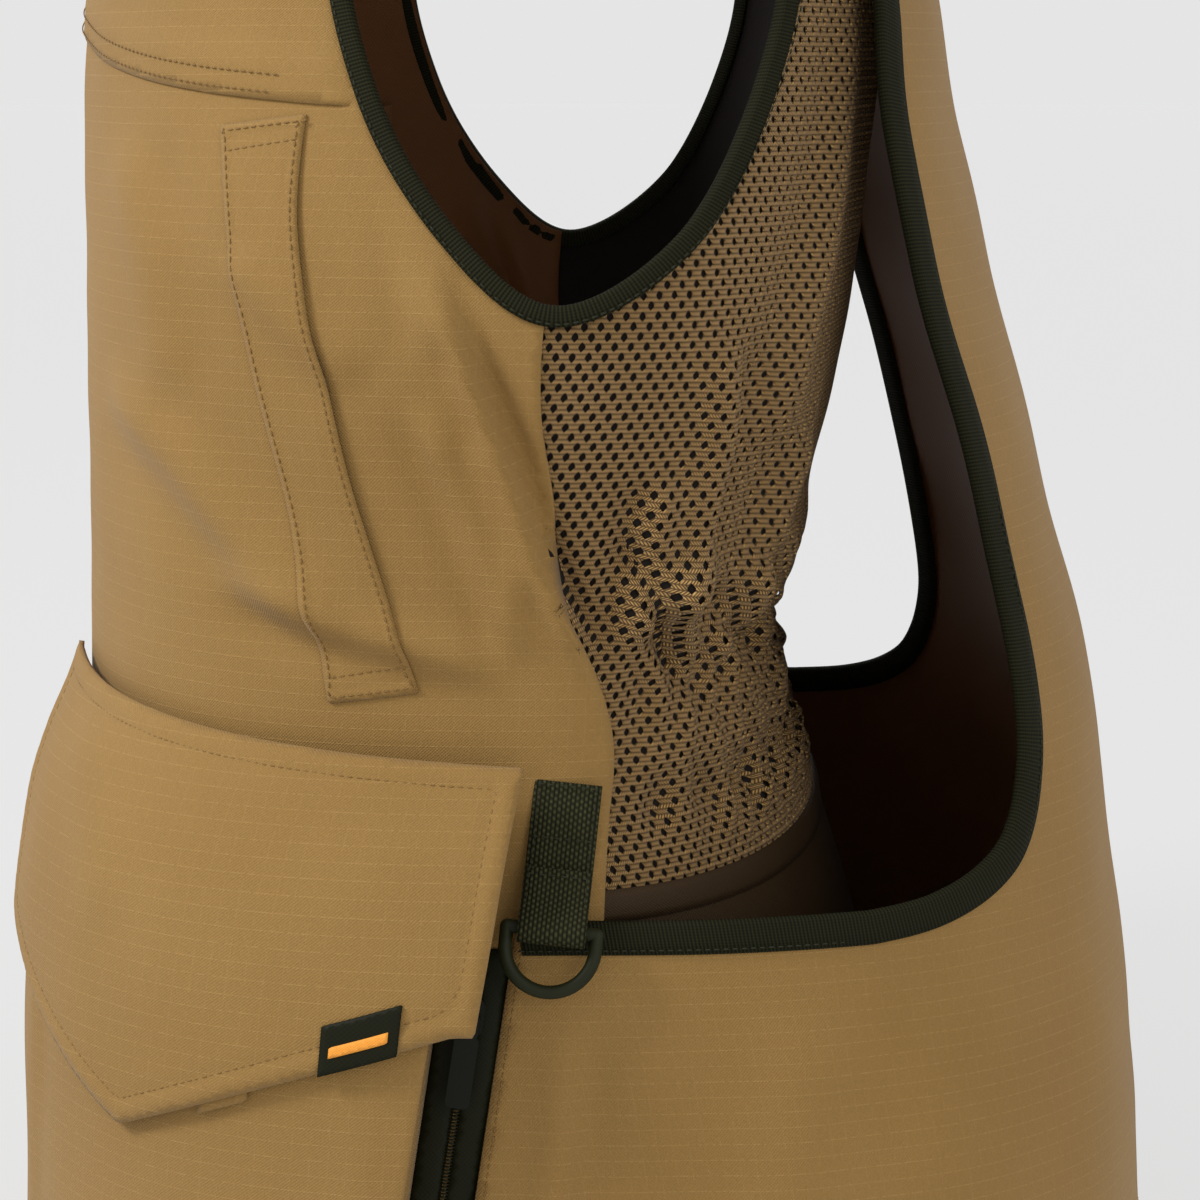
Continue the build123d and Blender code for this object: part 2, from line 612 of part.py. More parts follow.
strip = Pos(0, strap_length / 2, -loop_inner - WEBBING_THICK / 2) * Box(WEBBING_WIDTH, strap_length, WEBBING_THICK)
tube = Rot(0, 90, 0) * Cylinder(loop_outer, WEBBING_WIDTH) - Rot(0, 90, 0) * Cylinder(loop_inner, 2 * WEBBING_WIDTH)
parts["webbing_strap_left"] = strap_frame.location * (strip + tube) - body(outer_face + LAYER_GAP / 2)

ring_half = WEBBING_WIDTH / 2 + RING_SIDE_CLEAR + RING_WIRE
ring_bow = CenterArc((0, -RING_LEG), ring_half, 180, 180)
bow = sweep(Plane(origin=(-ring_half, -RING_LEG, 0), z_dir=(0, 1, 0)) * Circle(RING_WIRE), path=ring_bow)
bar = Rot(0, 90, 0) * Cylinder(RING_WIRE, 2 * ring_half)
legs = Part()
for side in (-1, 1):
    legs += Pos(side * ring_half, -RING_LEG / 2, 0) * Rot(90, 0, 0) * Cylinder(RING_WIRE, RING_LEG)
    legs += Pos(side * ring_half, 0, 0) * Sphere(RING_WIRE)
parts["d_ring_left"] = strap_frame.location * (bar + legs + bow)

# ---------------------------------------------------------------- hanger loop and the row's origin
step = 10.0
neck_low, neck_high = LOOP_HEIGHT, LOOP_HEIGHT + step
lean_y = (smooth(BODY_STATIONS, 3, neck_high) - smooth(BODY_STATIONS, 3, neck_low)) * GRADE_Y
neck_up = Vector(0, lean_y, step * GRADE_Z).normalized()
loop_frame = Plane(
    origin=(0, smooth(BODY_STATIONS, 3, LOOP_HEIGHT) * GRADE_Y, LOOP_HEIGHT * GRADE_Z),
    x_dir=(1, 0, 0),
    z_dir=Vector(1, 0, 0).cross(neck_up),
)
loop_depth_middle = BINDING_WRAP + LAYER_GAP + LOOP_DEPTH / 2
arch = Pos(0, 0, loop_depth_middle) * (
    Cylinder(LOOP_RADIUS + LOOP_TAPE, LOOP_DEPTH) - Cylinder(LOOP_RADIUS, 2 * LOOP_DEPTH)
)
arch = arch & Pos(0, FAR / 2, 0) * Box(FAR, FAR, FAR)
for side in (-1, 1):
    arch += Pos(side * (LOOP_RADIUS + LOOP_TAPE / 2), -LOOP_LEG / 2, loop_depth_middle) * Box(
        LOOP_TAPE, LOOP_LEG, LOOP_DEPTH
    )
parts["hanger_loop"] = loop_frame.location * arch - parts["back_yoke_lining"] - parts["back_yoke"]
hang_point = loop_frame.from_local_coords(Vector(0, LOOP_RADIUS, loop_depth_middle))

# ---------------------------------------------------------------- right-hand twins
for name in [name for name in parts if name.endswith("_left")]:
    parts[name.replace("_left", "_right")] = mirrored(parts[name])

# ---------------------------------------------------------------- write each piece about the hanger loop
os.makedirs("parts", exist_ok=True)
to_origin = Pos(-hang_point.X, -hang_point.Y, -hang_point.Z)
for name, piece in parts.items():
    export_step(to_origin * piece, f"parts/{name}.step")

shift = Vector(-hang_point.X, -hang_point.Y, -hang_point.Z)
flap_axis = Vector(side_x - front_x, side_y - front_y, (FLAP_TOP_SIDE - FLAP_TOP_FRONT) * GRADE_Z).normalized()
for label, value in {
    "hang point": hang_point,
    "front zip hinge": front_hinge + shift,
    "front zip axis": front_down,
    "side zip hinge": side_hinge + shift,
    "side zip axis": side_down,
    "side zip across": side_frame.x_dir,
    "ring centre": loop_centre + shift,
    "ring axis": strap_frame.x_dir,
    "flap axis": flap_axis,
    "flap chord middle": chord_frame.origin + shift,
    "flap outward": chord_frame.z_dir,
}.items():
    print(label, [round(c, 5) for c in value])
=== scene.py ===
# %% [markdown]
# # A field vest with a rear game bag
# The real vest is cut from flat cloth and sewn: tan ripstop fronts, a knitted mesh back, a big bag hung
# behind, green edge bindings, bellows pockets with pointed flaps, zips and two webbing straps with D-rings.
# Every cloth piece here lies on one of two lofted surfaces, the body and the bag, so the pieces meet as the
# sewn ones do.

# %% Load the fixed frame
import math

import bpy
import numpy as np
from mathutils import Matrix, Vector
from mathutils.geometry import delaunay_2d_cdt


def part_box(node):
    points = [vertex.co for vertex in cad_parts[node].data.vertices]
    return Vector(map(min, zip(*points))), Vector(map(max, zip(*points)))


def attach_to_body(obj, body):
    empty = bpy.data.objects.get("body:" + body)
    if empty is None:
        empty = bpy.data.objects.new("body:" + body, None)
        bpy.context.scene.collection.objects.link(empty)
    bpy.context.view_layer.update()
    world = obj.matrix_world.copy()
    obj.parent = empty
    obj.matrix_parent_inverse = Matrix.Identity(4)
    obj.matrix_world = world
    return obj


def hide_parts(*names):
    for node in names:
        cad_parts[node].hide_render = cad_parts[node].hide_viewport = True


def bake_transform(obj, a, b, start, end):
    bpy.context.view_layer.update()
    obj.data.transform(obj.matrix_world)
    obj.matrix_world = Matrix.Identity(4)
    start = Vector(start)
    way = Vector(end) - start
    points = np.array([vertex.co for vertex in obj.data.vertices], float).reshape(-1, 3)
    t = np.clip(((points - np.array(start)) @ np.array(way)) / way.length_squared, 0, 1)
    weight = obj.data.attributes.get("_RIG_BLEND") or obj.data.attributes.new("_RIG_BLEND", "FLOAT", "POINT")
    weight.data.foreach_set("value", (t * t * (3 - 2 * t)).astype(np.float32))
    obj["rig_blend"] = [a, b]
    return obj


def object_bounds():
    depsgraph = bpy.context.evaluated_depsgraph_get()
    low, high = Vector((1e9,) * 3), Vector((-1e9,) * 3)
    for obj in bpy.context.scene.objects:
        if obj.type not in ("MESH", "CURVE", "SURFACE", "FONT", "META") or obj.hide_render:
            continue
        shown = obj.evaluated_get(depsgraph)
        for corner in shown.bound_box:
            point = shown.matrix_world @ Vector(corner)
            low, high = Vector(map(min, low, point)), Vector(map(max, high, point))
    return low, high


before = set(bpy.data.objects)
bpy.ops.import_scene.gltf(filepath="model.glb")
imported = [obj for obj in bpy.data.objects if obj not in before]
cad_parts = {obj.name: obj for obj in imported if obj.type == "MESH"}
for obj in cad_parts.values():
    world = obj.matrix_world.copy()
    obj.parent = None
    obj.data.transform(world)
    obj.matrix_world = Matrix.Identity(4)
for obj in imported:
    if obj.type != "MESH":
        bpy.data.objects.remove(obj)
cad_low, cad_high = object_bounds()
MM = 0.001
BAG_BACK, BAG_SHELL = 232.0, 2.0
HANG = np.array([0.0, BAG_BACK + BAG_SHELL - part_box("bag_outer_panel")[1].y / MM, -cad_low.z / MM])
print("pieces in the frame:", len(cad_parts), "hang point above the hem, mm:", HANG.round(1))


def to_frame(points):
    """Pattern millimetres, measured from the hem, to metres in the frame about the hanger loop."""
    return (np.asarray(points, float) - HANG) * MM


# %% [markdown]
# ## The body, bag and pocket surfaces
# A tailor measures a body at a few heights. Here each height has a half width, a front, a back and the place
# where it is widest, and the section between is a pair of half super-ellipses. Smooth steps between the
# heights give one surface that everything is laid on.

# %% Measures at each height
BODY = [(0, 250, 215, 125, -40), (90, 244, 213.9, 118, -40), (180, 238, 212.8, 93, -35),
        (240, 230, 212, 77, -30), (320, 232, 211, 90, -20), (400, 238, 210, 103, -12),
        (460, 226, 209.2, 111, -10), (520, 210, 205, 119, -8), (580, 198, 192, 122, -4),
        (630, 184, 160, 116, 0), (665, 152, 110, 95, 5), (690, 86, 60, 60, 10)]
BAG = [(0, 255, 232), (60, 251, 229), (120, 247, 222), (180, 243, 213), (240, 240, 204), (320, 238, 183),
       (400, 230, 160), (460, 220, 148), (520, 208, 135), (560, 201, 125)]
POCKET = [(0, 32), (60, 33), (120, 33), (160, 31), (200, 25), (225, 17), (250, 6), (270, 4)]
FRONT_POWER, BODY_BACK_POWER, BAG_BACK_POWER = 2.7, 2.4, 3.0
BAG_WIDEST_Y, BAG_FRONT = -45.0, 105.0


def smooth(stations, column, heights):
    """A measure at any height, in cubic steps through the stations."""
    table = np.array(stations, float)
    heights = np.atleast_1d(np.asarray(heights, float))
    last = len(table) - 2
    index = np.clip(np.searchsorted(table[:, 0], heights, side="right") - 1, 0, last)
    before, low, high, after = (table[np.clip(index + step, 0, last + 1)] for step in (-1, 0, 1, 2))
    span = high[:, 0] - low[:, 0]
    share = (heights - low[:, 0]) / span
    slope_low = (high[:, column] - before[:, column]) / (high[:, 0] - before[:, 0]) * span
    slope_high = (after[:, column] - low[:, column]) / (after[:, 0] - low[:, 0]) * span
    rise = high[:, column] - low[:, column]
    curve = 3 * rise - 2 * slope_low - slope_high + share * (slope_low + slope_high - 2 * rise)
    return low[:, column] + share * (slope_low + share * curve)


def section(surface, turn, z):
    """Points of a section. turn is the angle from the centre front towards the wearer's left."""
    z = np.broadcast_to(np.asarray(z, float), np.shape(turn))
    flat = z.ravel()
    if surface == "bag":
        half, back = (smooth(BAG, i, flat).reshape(z.shape) for i in (1, 2))
        front, widest, back_power = BAG_FRONT, BAG_WIDEST_Y, BAG_BACK_POWER
    else:
        half, front, back, widest = (smooth(BODY, i, flat).reshape(z.shape) for i in (1, 2, 3, 4))
        back_power = BODY_BACK_POWER
    across, along = np.sin(turn), -np.cos(turn)
    power = np.where(along > 0, back_power, FRONT_POWER)
    depth = np.where(along > 0, back - widest, front + widest)
    radius = (np.abs(across / half) ** power + np.abs(along / depth) ** power) ** (-1 / power)
    return np.stack([radius * across, widest + radius * along, z], -1)


# %% [markdown]
# Cloth is measured along itself, so a place on a surface is given as a distance round the section, from
# the centre front or the centre back, and a height. A table turns that distance into an angle once, at
# every 5 mm of height, and later pieces only look it up.

# %% Distance round the section, and the way to a point
ROWS = np.arange(-10.0, 701.0, 5.0)
ROUND = np.arange(-900.0, 901.0, 2.0)
TURNS = {}
for surface in ("body", "bag"):
    turns = np.linspace(-2.2 * math.pi, 2.2 * math.pi, 3169)
    from_front, from_back = [], []
    for height in ROWS:
        ring = section(surface, turns, height)
        length = np.concatenate([[0], np.cumsum(np.linalg.norm(np.diff(ring, axis=0), axis=1))])
        from_front.append(np.interp(ROUND + np.interp(0, turns, length), length, turns))
        from_back.append(np.interp(np.interp(math.pi, turns, length) - ROUND, length, turns))
    TURNS[surface, "front"], TURNS[surface, "back"] = np.array(from_front), np.array(from_back)
KINDS = {"front": ("body", "front"), "back": ("body", "back"), "bag": ("bag", "back")}


def turn_at(kind, w, z):
    """The angle at a distance round and a height."""
    table = TURNS[KINDS[kind]]
    row = np.clip((np.asarray(z, float) - ROWS[0]) / 5, 0, len(ROWS) - 1.001)
    column = np.clip((np.asarray(w, float) - ROUND[0]) / 2, 0, len(ROUND) - 1.001)
    r, c = row.astype(int), column.astype(int)
    fr, fc = row - r, column - c
    low = table[r, c] * (1 - fc) + table[r, c + 1] * fc
    high = table[r + 1, c] * (1 - fc) + table[r + 1, c + 1] * fc
    return low * (1 - fr) + high * fr


def on_surface(kind, w, z):
    """Points on a surface and their outward directions."""
    surface = KINDS[kind][0]
    turn, z = turn_at(kind, w, z), np.asarray(z, float)
    points = section(surface, turn, z)
    sideways = section(surface, turn + 0.002, z) - section(surface, turn - 0.002, z)
    upward = section(surface, turn, z + 1) - section(surface, turn, z - 1)
    out = np.cross(sideways, upward)
    return points, out / np.linalg.norm(out, axis=-1, keepdims=True)


CHORD_FRONT, CHORD_SIDE = np.array([96.0, -209.0]), np.array([254.0, -36.0])
CHORD_MIDDLE = (CHORD_FRONT + CHORD_SIDE) / 2
CHORD_LENGTH = float(np.linalg.norm(CHORD_SIDE - CHORD_FRONT))
CHORD_WAY = (CHORD_SIDE - CHORD_FRONT) / CHORD_LENGTH


def round_at(kind, measure, value, z, lift=0.0, reach=520.0):
    """The distance round, on the left side, where x, y or the place along the pocket's chord has a value.
    lift is how far outside the surface the value is measured."""
    w = np.linspace(0, reach, 521)
    points, out = on_surface(kind, w, np.full_like(w, z))
    points = points + out * lift
    along = {"x": points[:, 0], "y": points[:, 1], "t": (points[:, :2] - CHORD_MIDDLE) @ CHORD_WAY}[measure]
    if measure != "x" and along[-1] < along[0]:
        along, value = -along, -value
    value = min(value, float(along.max()) - 0.05)
    return float(np.interp(value, np.maximum.accumulate(along), w))


def to_round(kind, measure, points, swollen=0.0):
    """A drawn line of (measure, height) points as (distance round, height).
    Where it lies over the full pocket, swollen is 1."""
    return [(round_at(kind, measure, value, z, swollen * float(smooth(POCKET, 1, np.clip(z, 0, 270))[0])), z)
            for value, z in points]


print("half girth at the chest, mm:", round(round_at("front", "y", 103, 400)))

# %% [markdown]
# ## How cloth hangs
# Pressed cloth would follow the surface exactly. Worn cloth has folds where it is pulled, gathers where
# elastic draws it in, and a slow unevenness everywhere. One function of place gives that relief in
# millimetres, and every layer at a place uses the same one, so the layers never cut through each other.

# %% Folds, ripples and gathers


def ripple(points, wavelength, seed):
    """A slow unevenness from minus one to one, the same at every run."""
    rng = np.random.default_rng(seed)
    total = np.zeros(len(points))
    for _ in range(7):
        way = rng.normal(size=3)
        way /= np.linalg.norm(way)
        total += np.sin(points @ way * 2 * math.pi / (wavelength * rng.uniform(0.7, 1.5))
                        + rng.uniform(0, 6.28))
    return total / 4


def line_distance(u, v, line):
    """Signed distance to a polyline, and how far along it the nearest place is, from 0 to 1."""
    line = np.asarray(line, float)
    best, signed, share = np.full(len(u), 1e9), np.zeros(len(u)), np.zeros(len(u))
    lengths = np.linalg.norm(np.diff(line, axis=0), axis=1)
    start, whole = 0.0, lengths.sum()
    for (a, b), length in zip(zip(line[:-1], line[1:]), lengths):
        if length < 1e-9:
            continue
        way = (b - a) / length
        du, dv = u - a[0], v - a[1]
        along = np.clip(du * way[0] + dv * way[1], 0, length)
        du, dv = du - along * way[0], dv - along * way[1]
        distance = np.hypot(du, dv)
        side = np.sign(way[0] * (v - a[1]) - way[1] * (u - a[0]))
        nearer = distance < best
        best = np.where(nearer, distance, best)
        signed = np.where(nearer, distance * side, signed)
        share = np.where(nearer, (start + along) / whole, share)
        start += length
    return signed, share


def fold(u, v, line, width, height, skew=0.0):
    """A fold along a line: a soft ridge, or with skew a ridge with a hollow beside it."""
    signed, share = line_distance(u, v, line)
    ends = np.clip(np.minimum(share, 1 - share) / 0.22, 0, 1)
    ends = ends * ends * (3 - 2 * ends)
    near = signed / width
    return height * ends * ((1 - abs(skew)) * np.exp(-near**2) + skew * 2.3 * near * np.exp(-near**2))


def step(value, low, high):
    """From 0 at low to 1 at high, smoothly."""
    share = np.clip((value - low) / (high - low), 0, 1)
    return share * share * (3 - 2 * share)


# Folds seen from the side: line of (y, height), half width, height, skew
BODY_FOLDS = [
    ([(-60, 440), (-55, 424), (-53, 410), (-43, 378), (-30, 345), (-20, 312), (-6, 280), (2, 258)], 5.5, 8.0,
     -0.85),
    ([(-76, 468), (-70, 440), (-66, 410), (-60, 380)], 9.0, 5.0, 0.5),
    ([(-196, 372), (-160, 340), (-118, 294), (-90, 276)], 14.0, 7.0, 0.5),
    ([(-150, 300), (-95, 282), (-30, 262)], 10.0, 5.0, 0.6),
    ([(-176, 470), (-160, 420), (-152, 360)], 13.0, 4.2, -0.5),
    ([(-50, 360), (-36, 320), (-30, 290)], 6.0, 3.4, 0.5),
    ([(-70, 372), (-52, 330), (-40, 296), (-30, 268)], 8.0, 4.6, 0.65),
    ([(-140, 420), (-110, 392), (-84, 372)], 11.0, 3.4, 0.5),
    ([(92, 535), (88, 480), (80, 430), (66, 380), (58, 330)], 8.0, 7.0, 0.6),
    ([(50, 400), (46, 350), (36, 310), (16, 268)], 9.0, 9.0, -0.65),
    ([(20, 345), (12, 312), (6, 276)], 7.0, 7.0, 0.65),
    ([(74, 360), (60, 310), (44, 262)], 7.0, 8.5, 0.65),
    ([(90, 380), (80, 320), (70, 270)], 8.0, 5.6, -0.6),
    ([(9, 324), (18, 294), (34, 258)], 4.5, -9.0, 0.0),
    ([(34, 306), (48, 282), (68, 254)], 5.0, -8.0, 0.0),
    ([(58, 316), (66, 288), (80, 260)], 5.0, -7.0, 0.0),
]


def body_relief(points):
    """Height of the body's cloth above its pattern surface, in millimetres."""
    y, z = points[:, 1], points[:, 2]
    beside = step(np.abs(points[:, 0]), 120, 170)
    relief = 1.1 * ripple(points, 150, 3) + 0.45 * ripple(points, 46, 5)
    for line, width, height, skew in BODY_FOLDS:
        relief += beside * fold(y, z, line, width, height, skew)
    behind = step(y, 2, 22)
    girth = np.arctan2(points[:, 0], points[:, 1] + 30) * 165
    wander = 5 * ripple(points, 60, 8)
    turns_round = 2 * math.pi * (girth + wander) / 14, 2 * math.pi * (girth - wander) / 23
    gather = 0.6 * np.sin(turns_round[0]) + 0.5 * np.sin(turns_round[1])
    at_waist = np.exp(-(((z - 266) / 26) ** 2)) + 0.8 * np.exp(-(((z - 212) / 15) ** 2))
    relief += behind * at_waist * (4.6 * gather + 1.6 + 2.6 * ripple(points, 15, 11))
    billow = 6.5 * np.exp(-(((z - 298) / 15) ** 2)) + 4.5 * np.exp(-(((z - 236) / 9) ** 2))
    pinch = 4.0 * np.exp(-(((z - 264) / 9) ** 2)) + 3.0 * np.exp(-(((z - 216) / 6) ** 2))
    drawn_in = 9.0 * step(y, 30, 80) * np.exp(-(((z - 275) / 48) ** 2))
    relief += behind * (billow * (1 + 0.6 * ripple(points, 40, 13)) - pinch) - drawn_in
    from_hole = np.abs(line_distance(y, z, np.vstack([ARMHOLE[::4], ARMHOLE[:1]]))[0])
    relief *= 0.15 + 0.85 * step(from_hole, 10, 34)
    return relief * step(z, 240, 285) * (1 - behind) + relief * behind * step(z, 186, 200)


def bag_relief(points):
    """Height of the bag's cloth above its pattern surface."""
    y, z = points[:, 1], points[:, 2]
    beside = step(np.abs(points[:, 0]), 150, 200)
    relief = 1.8 * ripple(points, 170, 21) + 0.7 * ripple(points, 60, 22)
    relief += beside * fold(y, z, [(-6, 150), (-9, 126), (-12, 60), (-15, -20)], 9, 3.6, -0.65)
    relief += beside * fold(y, z, [(70, 150), (60, 80), (30, -10)], 24, 3.6, 0.4)
    relief += fold(y, z, [(205, 30), (196, 200), (172, 330), (148, 460)], 15, 1.8, 0.2)
    return relief


def place(kind, w, z, offset=0.0, relief=None, side=1):
    """Frame points of cloth at distances round and heights, an offset outside the surface."""
    points, out = on_surface(kind, np.asarray(w, float) * side, z)
    lift = np.asarray(offset, float) + (relief(points) if relief is not None else 0.0)
    return to_frame(points + out * np.broadcast_to(lift, points.shape[:1])[:, None])


# %% [markdown]
# ## Cutting a panel
# A cutter lays the pattern flat and cuts round its outline. The code does the same: it fills the outline
# with evenly spaced points, joins them into triangles that keep the outline sharp, and then lays the flat
# piece on its surface. The flat places are kept as the UV map, in metres, so that the weave follows the
# grain of the cloth. A small roll at the edge and a sunk line where it is stitched make it look sewn.

# %% Outline tools and the panel cutter


def along_line(line, spacing, closed=False):
    """The same line with evenly spaced points."""
    line = np.asarray(line, float)
    if closed:
        line = np.vstack([line, line[:1]])
    length = np.concatenate([[0], np.cumsum(np.linalg.norm(np.diff(line, axis=0), axis=1))])
    keep = np.concatenate([[True], np.diff(length) > 1e-6])
    line, length = line[keep], length[keep]
    count = max(2, int(round(length[-1] / spacing)) + 1)
    at = np.linspace(0, length[-1], count)
    spaced = np.stack([np.interp(at, length, line[:, i]) for i in range(line.shape[1])], 1)
    return spaced[:-1] if closed else spaced


def curve_through(points, closed=False, steps=12):
    """A smooth curve through drawn points."""
    p = np.asarray(points, float)
    count = len(p)
    made = []
    for i in range(count if closed else count - 1):
        if closed:
            a, b, c, d = (p[(i + k) % count] for k in (-1, 0, 1, 2))
        else:
            a, b, c, d = p[max(i - 1, 0)], p[i], p[i + 1], p[min(i + 2, count - 1)]
        for t in np.linspace(0, 1, steps, endpoint=False):
            made.append(0.5 * (2 * b + (c - a) * t + (2 * a - 5 * b + 4 * c - d) * t**2
                               + (3 * b - a - 3 * c + d) * t**3))
    if not closed:
        made.append(p[-1])
    return np.array(made)


def inside(points, outline):
    """Which points lie inside an outline."""
    x, y = points[:, 0], points[:, 1]
    found = np.zeros(len(points), bool)
    for (x0, y0), (x1, y1) in zip(outline, np.roll(outline, -1, axis=0)):
        if abs(y1 - y0) < 1e-12:
            continue
        crosses = (y0 > y) != (y1 > y)
        found ^= crosses & (x < (x1 - x0) * (y - y0) / (y1 - y0) + x0)
    return found


def flat_mesh(outline, spacing):
    """Triangles that fill an outline, in the flat."""
    edge = along_line(outline, spacing, closed=True)
    low, high = edge.min(0), edge.max(0)
    rows = np.arange(low[1], high[1], spacing * 0.87)
    grid = np.concatenate([
        np.stack([np.arange(low[0] + (i % 2) * spacing / 2, high[0], spacing), np.full(
            len(np.arange(low[0] + (i % 2) * spacing / 2, high[0], spacing)), height)], 1)
        for i, height in enumerate(rows)
    ])
    grid = grid[inside(grid, edge)]
    distance = np.abs(line_distance(grid[:, 0], grid[:, 1], np.vstack([edge, edge[:1]]))[0])
    grid = grid[distance > spacing * 0.55]
    points = np.vstack([edge, grid])
    count = len(edge)
    edges = [(i, (i + 1) % count) for i in range(count)]
    made = delaunay_2d_cdt([Vector(p) for p in points], edges, [], 1, 1e-5)
    flat = np.array([tuple(v) for v in made[0]])
    faces = np.array(made[2])
    a, b, c = flat[faces[0]]
    if (b[0] - a[0]) * (c[1] - a[1]) - (b[1] - a[1]) * (c[0] - a[0]) < 0:
        faces = faces[:, ::-1]
    return flat, faces, edge


def new_object(name, points, faces, uv=None, material=None, smooth_shaded=True):
    """A mesh object at the origin, with its place in its mesh."""
    mesh = bpy.data.meshes.new(name)
    mesh.from_pydata([tuple(p) for p in points], [], [tuple(int(i) for i in f) for f in faces])
    mesh.update()
    if uv is not None:
        layer = mesh.uv_layers.new(name="Cloth")
        index = np.zeros(len(mesh.loops), int)
        mesh.loops.foreach_get("vertex_index", index)
        layer.data.foreach_set("uv", np.asarray(uv, np.float32)[index].ravel())
    mesh.shade_smooth() if smooth_shaded else None
    made = bpy.data.objects.new(name, mesh)
    bpy.context.scene.collection.objects.link(made)
    if material is not None:
        mesh.materials.append(material)
    return made


def panel(name, kind, outline, offset, thick, material, spacing=4.0, side=1, relief=None, roll=0.7,
          stitched=0.0, extra=None):
    """Cuts one cloth piece and lays it on its surface. Its outer face is at the offset."""
    flat, faces, edge = flat_mesh(np.asarray(outline, float), spacing)
    away = np.abs(line_distance(flat[:, 0], flat[:, 1], np.vstack([edge, edge[:1]]))[0])
    lift = np.full(len(flat), float(offset)) - roll * np.exp(-((away / 1.3) ** 2))
    if stitched:
        lift -= 0.45 * np.exp(-(((away - stitched) / 1.6) ** 2))
        lift += 0.35 * np.exp(-(((away - stitched / 2) / (stitched / 3)) ** 2))
    if extra is not None:
        lift += extra(flat, away)
    points = place(kind, flat[:, 0], flat[:, 1], lift, relief, side)
    plain = place(kind, flat[:, 0], flat[:, 1], offset, None, side)
    turned = (side < 0) != (kind != "front")
    made = new_object(name, points, faces[:, ::-1] if turned else faces,
                      np.stack([flat[:, 0] * side, flat[:, 1]], 1) * MM, material)
    body = made.modifiers.new("Thickness", "SOLIDIFY")
    body.thickness = thick * MM
    body.offset = -1
    return made


def declare(piece, held, rests_on, *nodes, body="root", slot=None, with_pieces=()):
    """Rides a piece on its body, and hides the plain pieces that it stands for."""
    attach(piece, *nodes, body=body, slot=slot)


def attach(piece, *nodes, body="root", slot=None):
    """Rides a piece on its body, and hides the plain pieces that it stands for."""
    if nodes:
        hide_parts(*nodes)
    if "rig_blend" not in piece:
        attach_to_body(piece, body)

# %% [markdown]
# ## Node trees by hand
# Both materials and Geometry Nodes are graphs. Two small helpers keep them short to write: one adds a node
# and fills or links its sockets, the other adds a Math node and returns its result.

# %% Helpers for node trees


def add(tree, kind, sockets=None, **settings):
    """Adds a node. A socket is given a value, or another node's socket to link from."""
    made = tree.nodes.new(kind)
    for key, value in settings.items():
        setattr(made, key, value)
    for key, value in (sockets or {}).items():
        if isinstance(value, bpy.types.NodeSocket):
            tree.links.new(value, made.inputs[key])
        else:
            made.inputs[key].default_value = value
    return made


def sums(tree, operation, a, b=0.0, c=0.0):
    """The result of one Math node."""
    return add(tree, "ShaderNodeMath", {0: a, 1: b, 2: c}, operation=operation).outputs[0]


def group(name, kind, inputs, outputs):
    """An empty node group with named inputs (name, type, default) and outputs (name, type)."""
    tree = bpy.data.node_groups.new(name, kind)
    for label, socket_type, default in inputs:
        socket = tree.interface.new_socket(label, in_out="INPUT", socket_type=socket_type)
        if default is not None:
            socket.default_value = default
    for label, socket_type in outputs:
        tree.interface.new_socket(label, in_out="OUTPUT", socket_type=socket_type)
    return tree, tree.nodes.new("NodeGroupInput").outputs, tree.nodes.new("NodeGroupOutput").inputs


def colour(red, green, blue):
    """A colour picked as 0 to 255 screen values, as the linear values that Blender mixes."""
    linear = [c / 255 / 12.92 if c <= 10 else ((c / 255 + 0.055) / 1.055) ** 2.4 for c in (red, green, blue)]
    return (*linear, 1.0)


# %% [markdown]
# ## Shared effects
# Three effects are used by many finishes, so each is a node group made once. *Weave* is a plain crossing of
# threads, as a height and a shade. *Ripstop grid* is the thicker thread that ripstop cloth has every few
# millimetres each way. *Age* is a slow change of tone with a finer dusty grain, so that no cloth is one flat
# colour.

# %% Weave, ripstop grid and age
weave, w_in, w_out = group("Weave", "ShaderNodeTree",
                           [("Vector", "NodeSocketVector", None), ("Across", "NodeSocketFloat", 0.0008),
                            ("Along", "NodeSocketFloat", 0.0008)],
                           [("Height", "NodeSocketFloat"), ("Shade", "NodeSocketFloat")])
xyz = add(weave, "ShaderNodeSeparateXYZ", {0: w_in["Vector"]}).outputs
turn_u = sums(weave, "MULTIPLY", sums(weave, "DIVIDE", xyz[0], w_in["Across"]), math.pi)
turn_v = sums(weave, "MULTIPLY", sums(weave, "DIVIDE", xyz[1], w_in["Along"]), math.pi)
threads = sums(weave, "MULTIPLY", sums(weave, "SINE", turn_u), sums(weave, "SINE", turn_v))
slub = add(weave, "ShaderNodeTexNoise", {"Vector": w_in["Vector"], "Scale": 900.0, "Detail": 2.0}).outputs[0]
height = sums(weave, "MULTIPLY_ADD", threads, 0.5, slub)
weave.links.new(height, w_out["Height"])
weave.links.new(sums(weave, "MULTIPLY_ADD", threads, 0.25, 0.5), w_out["Shade"])

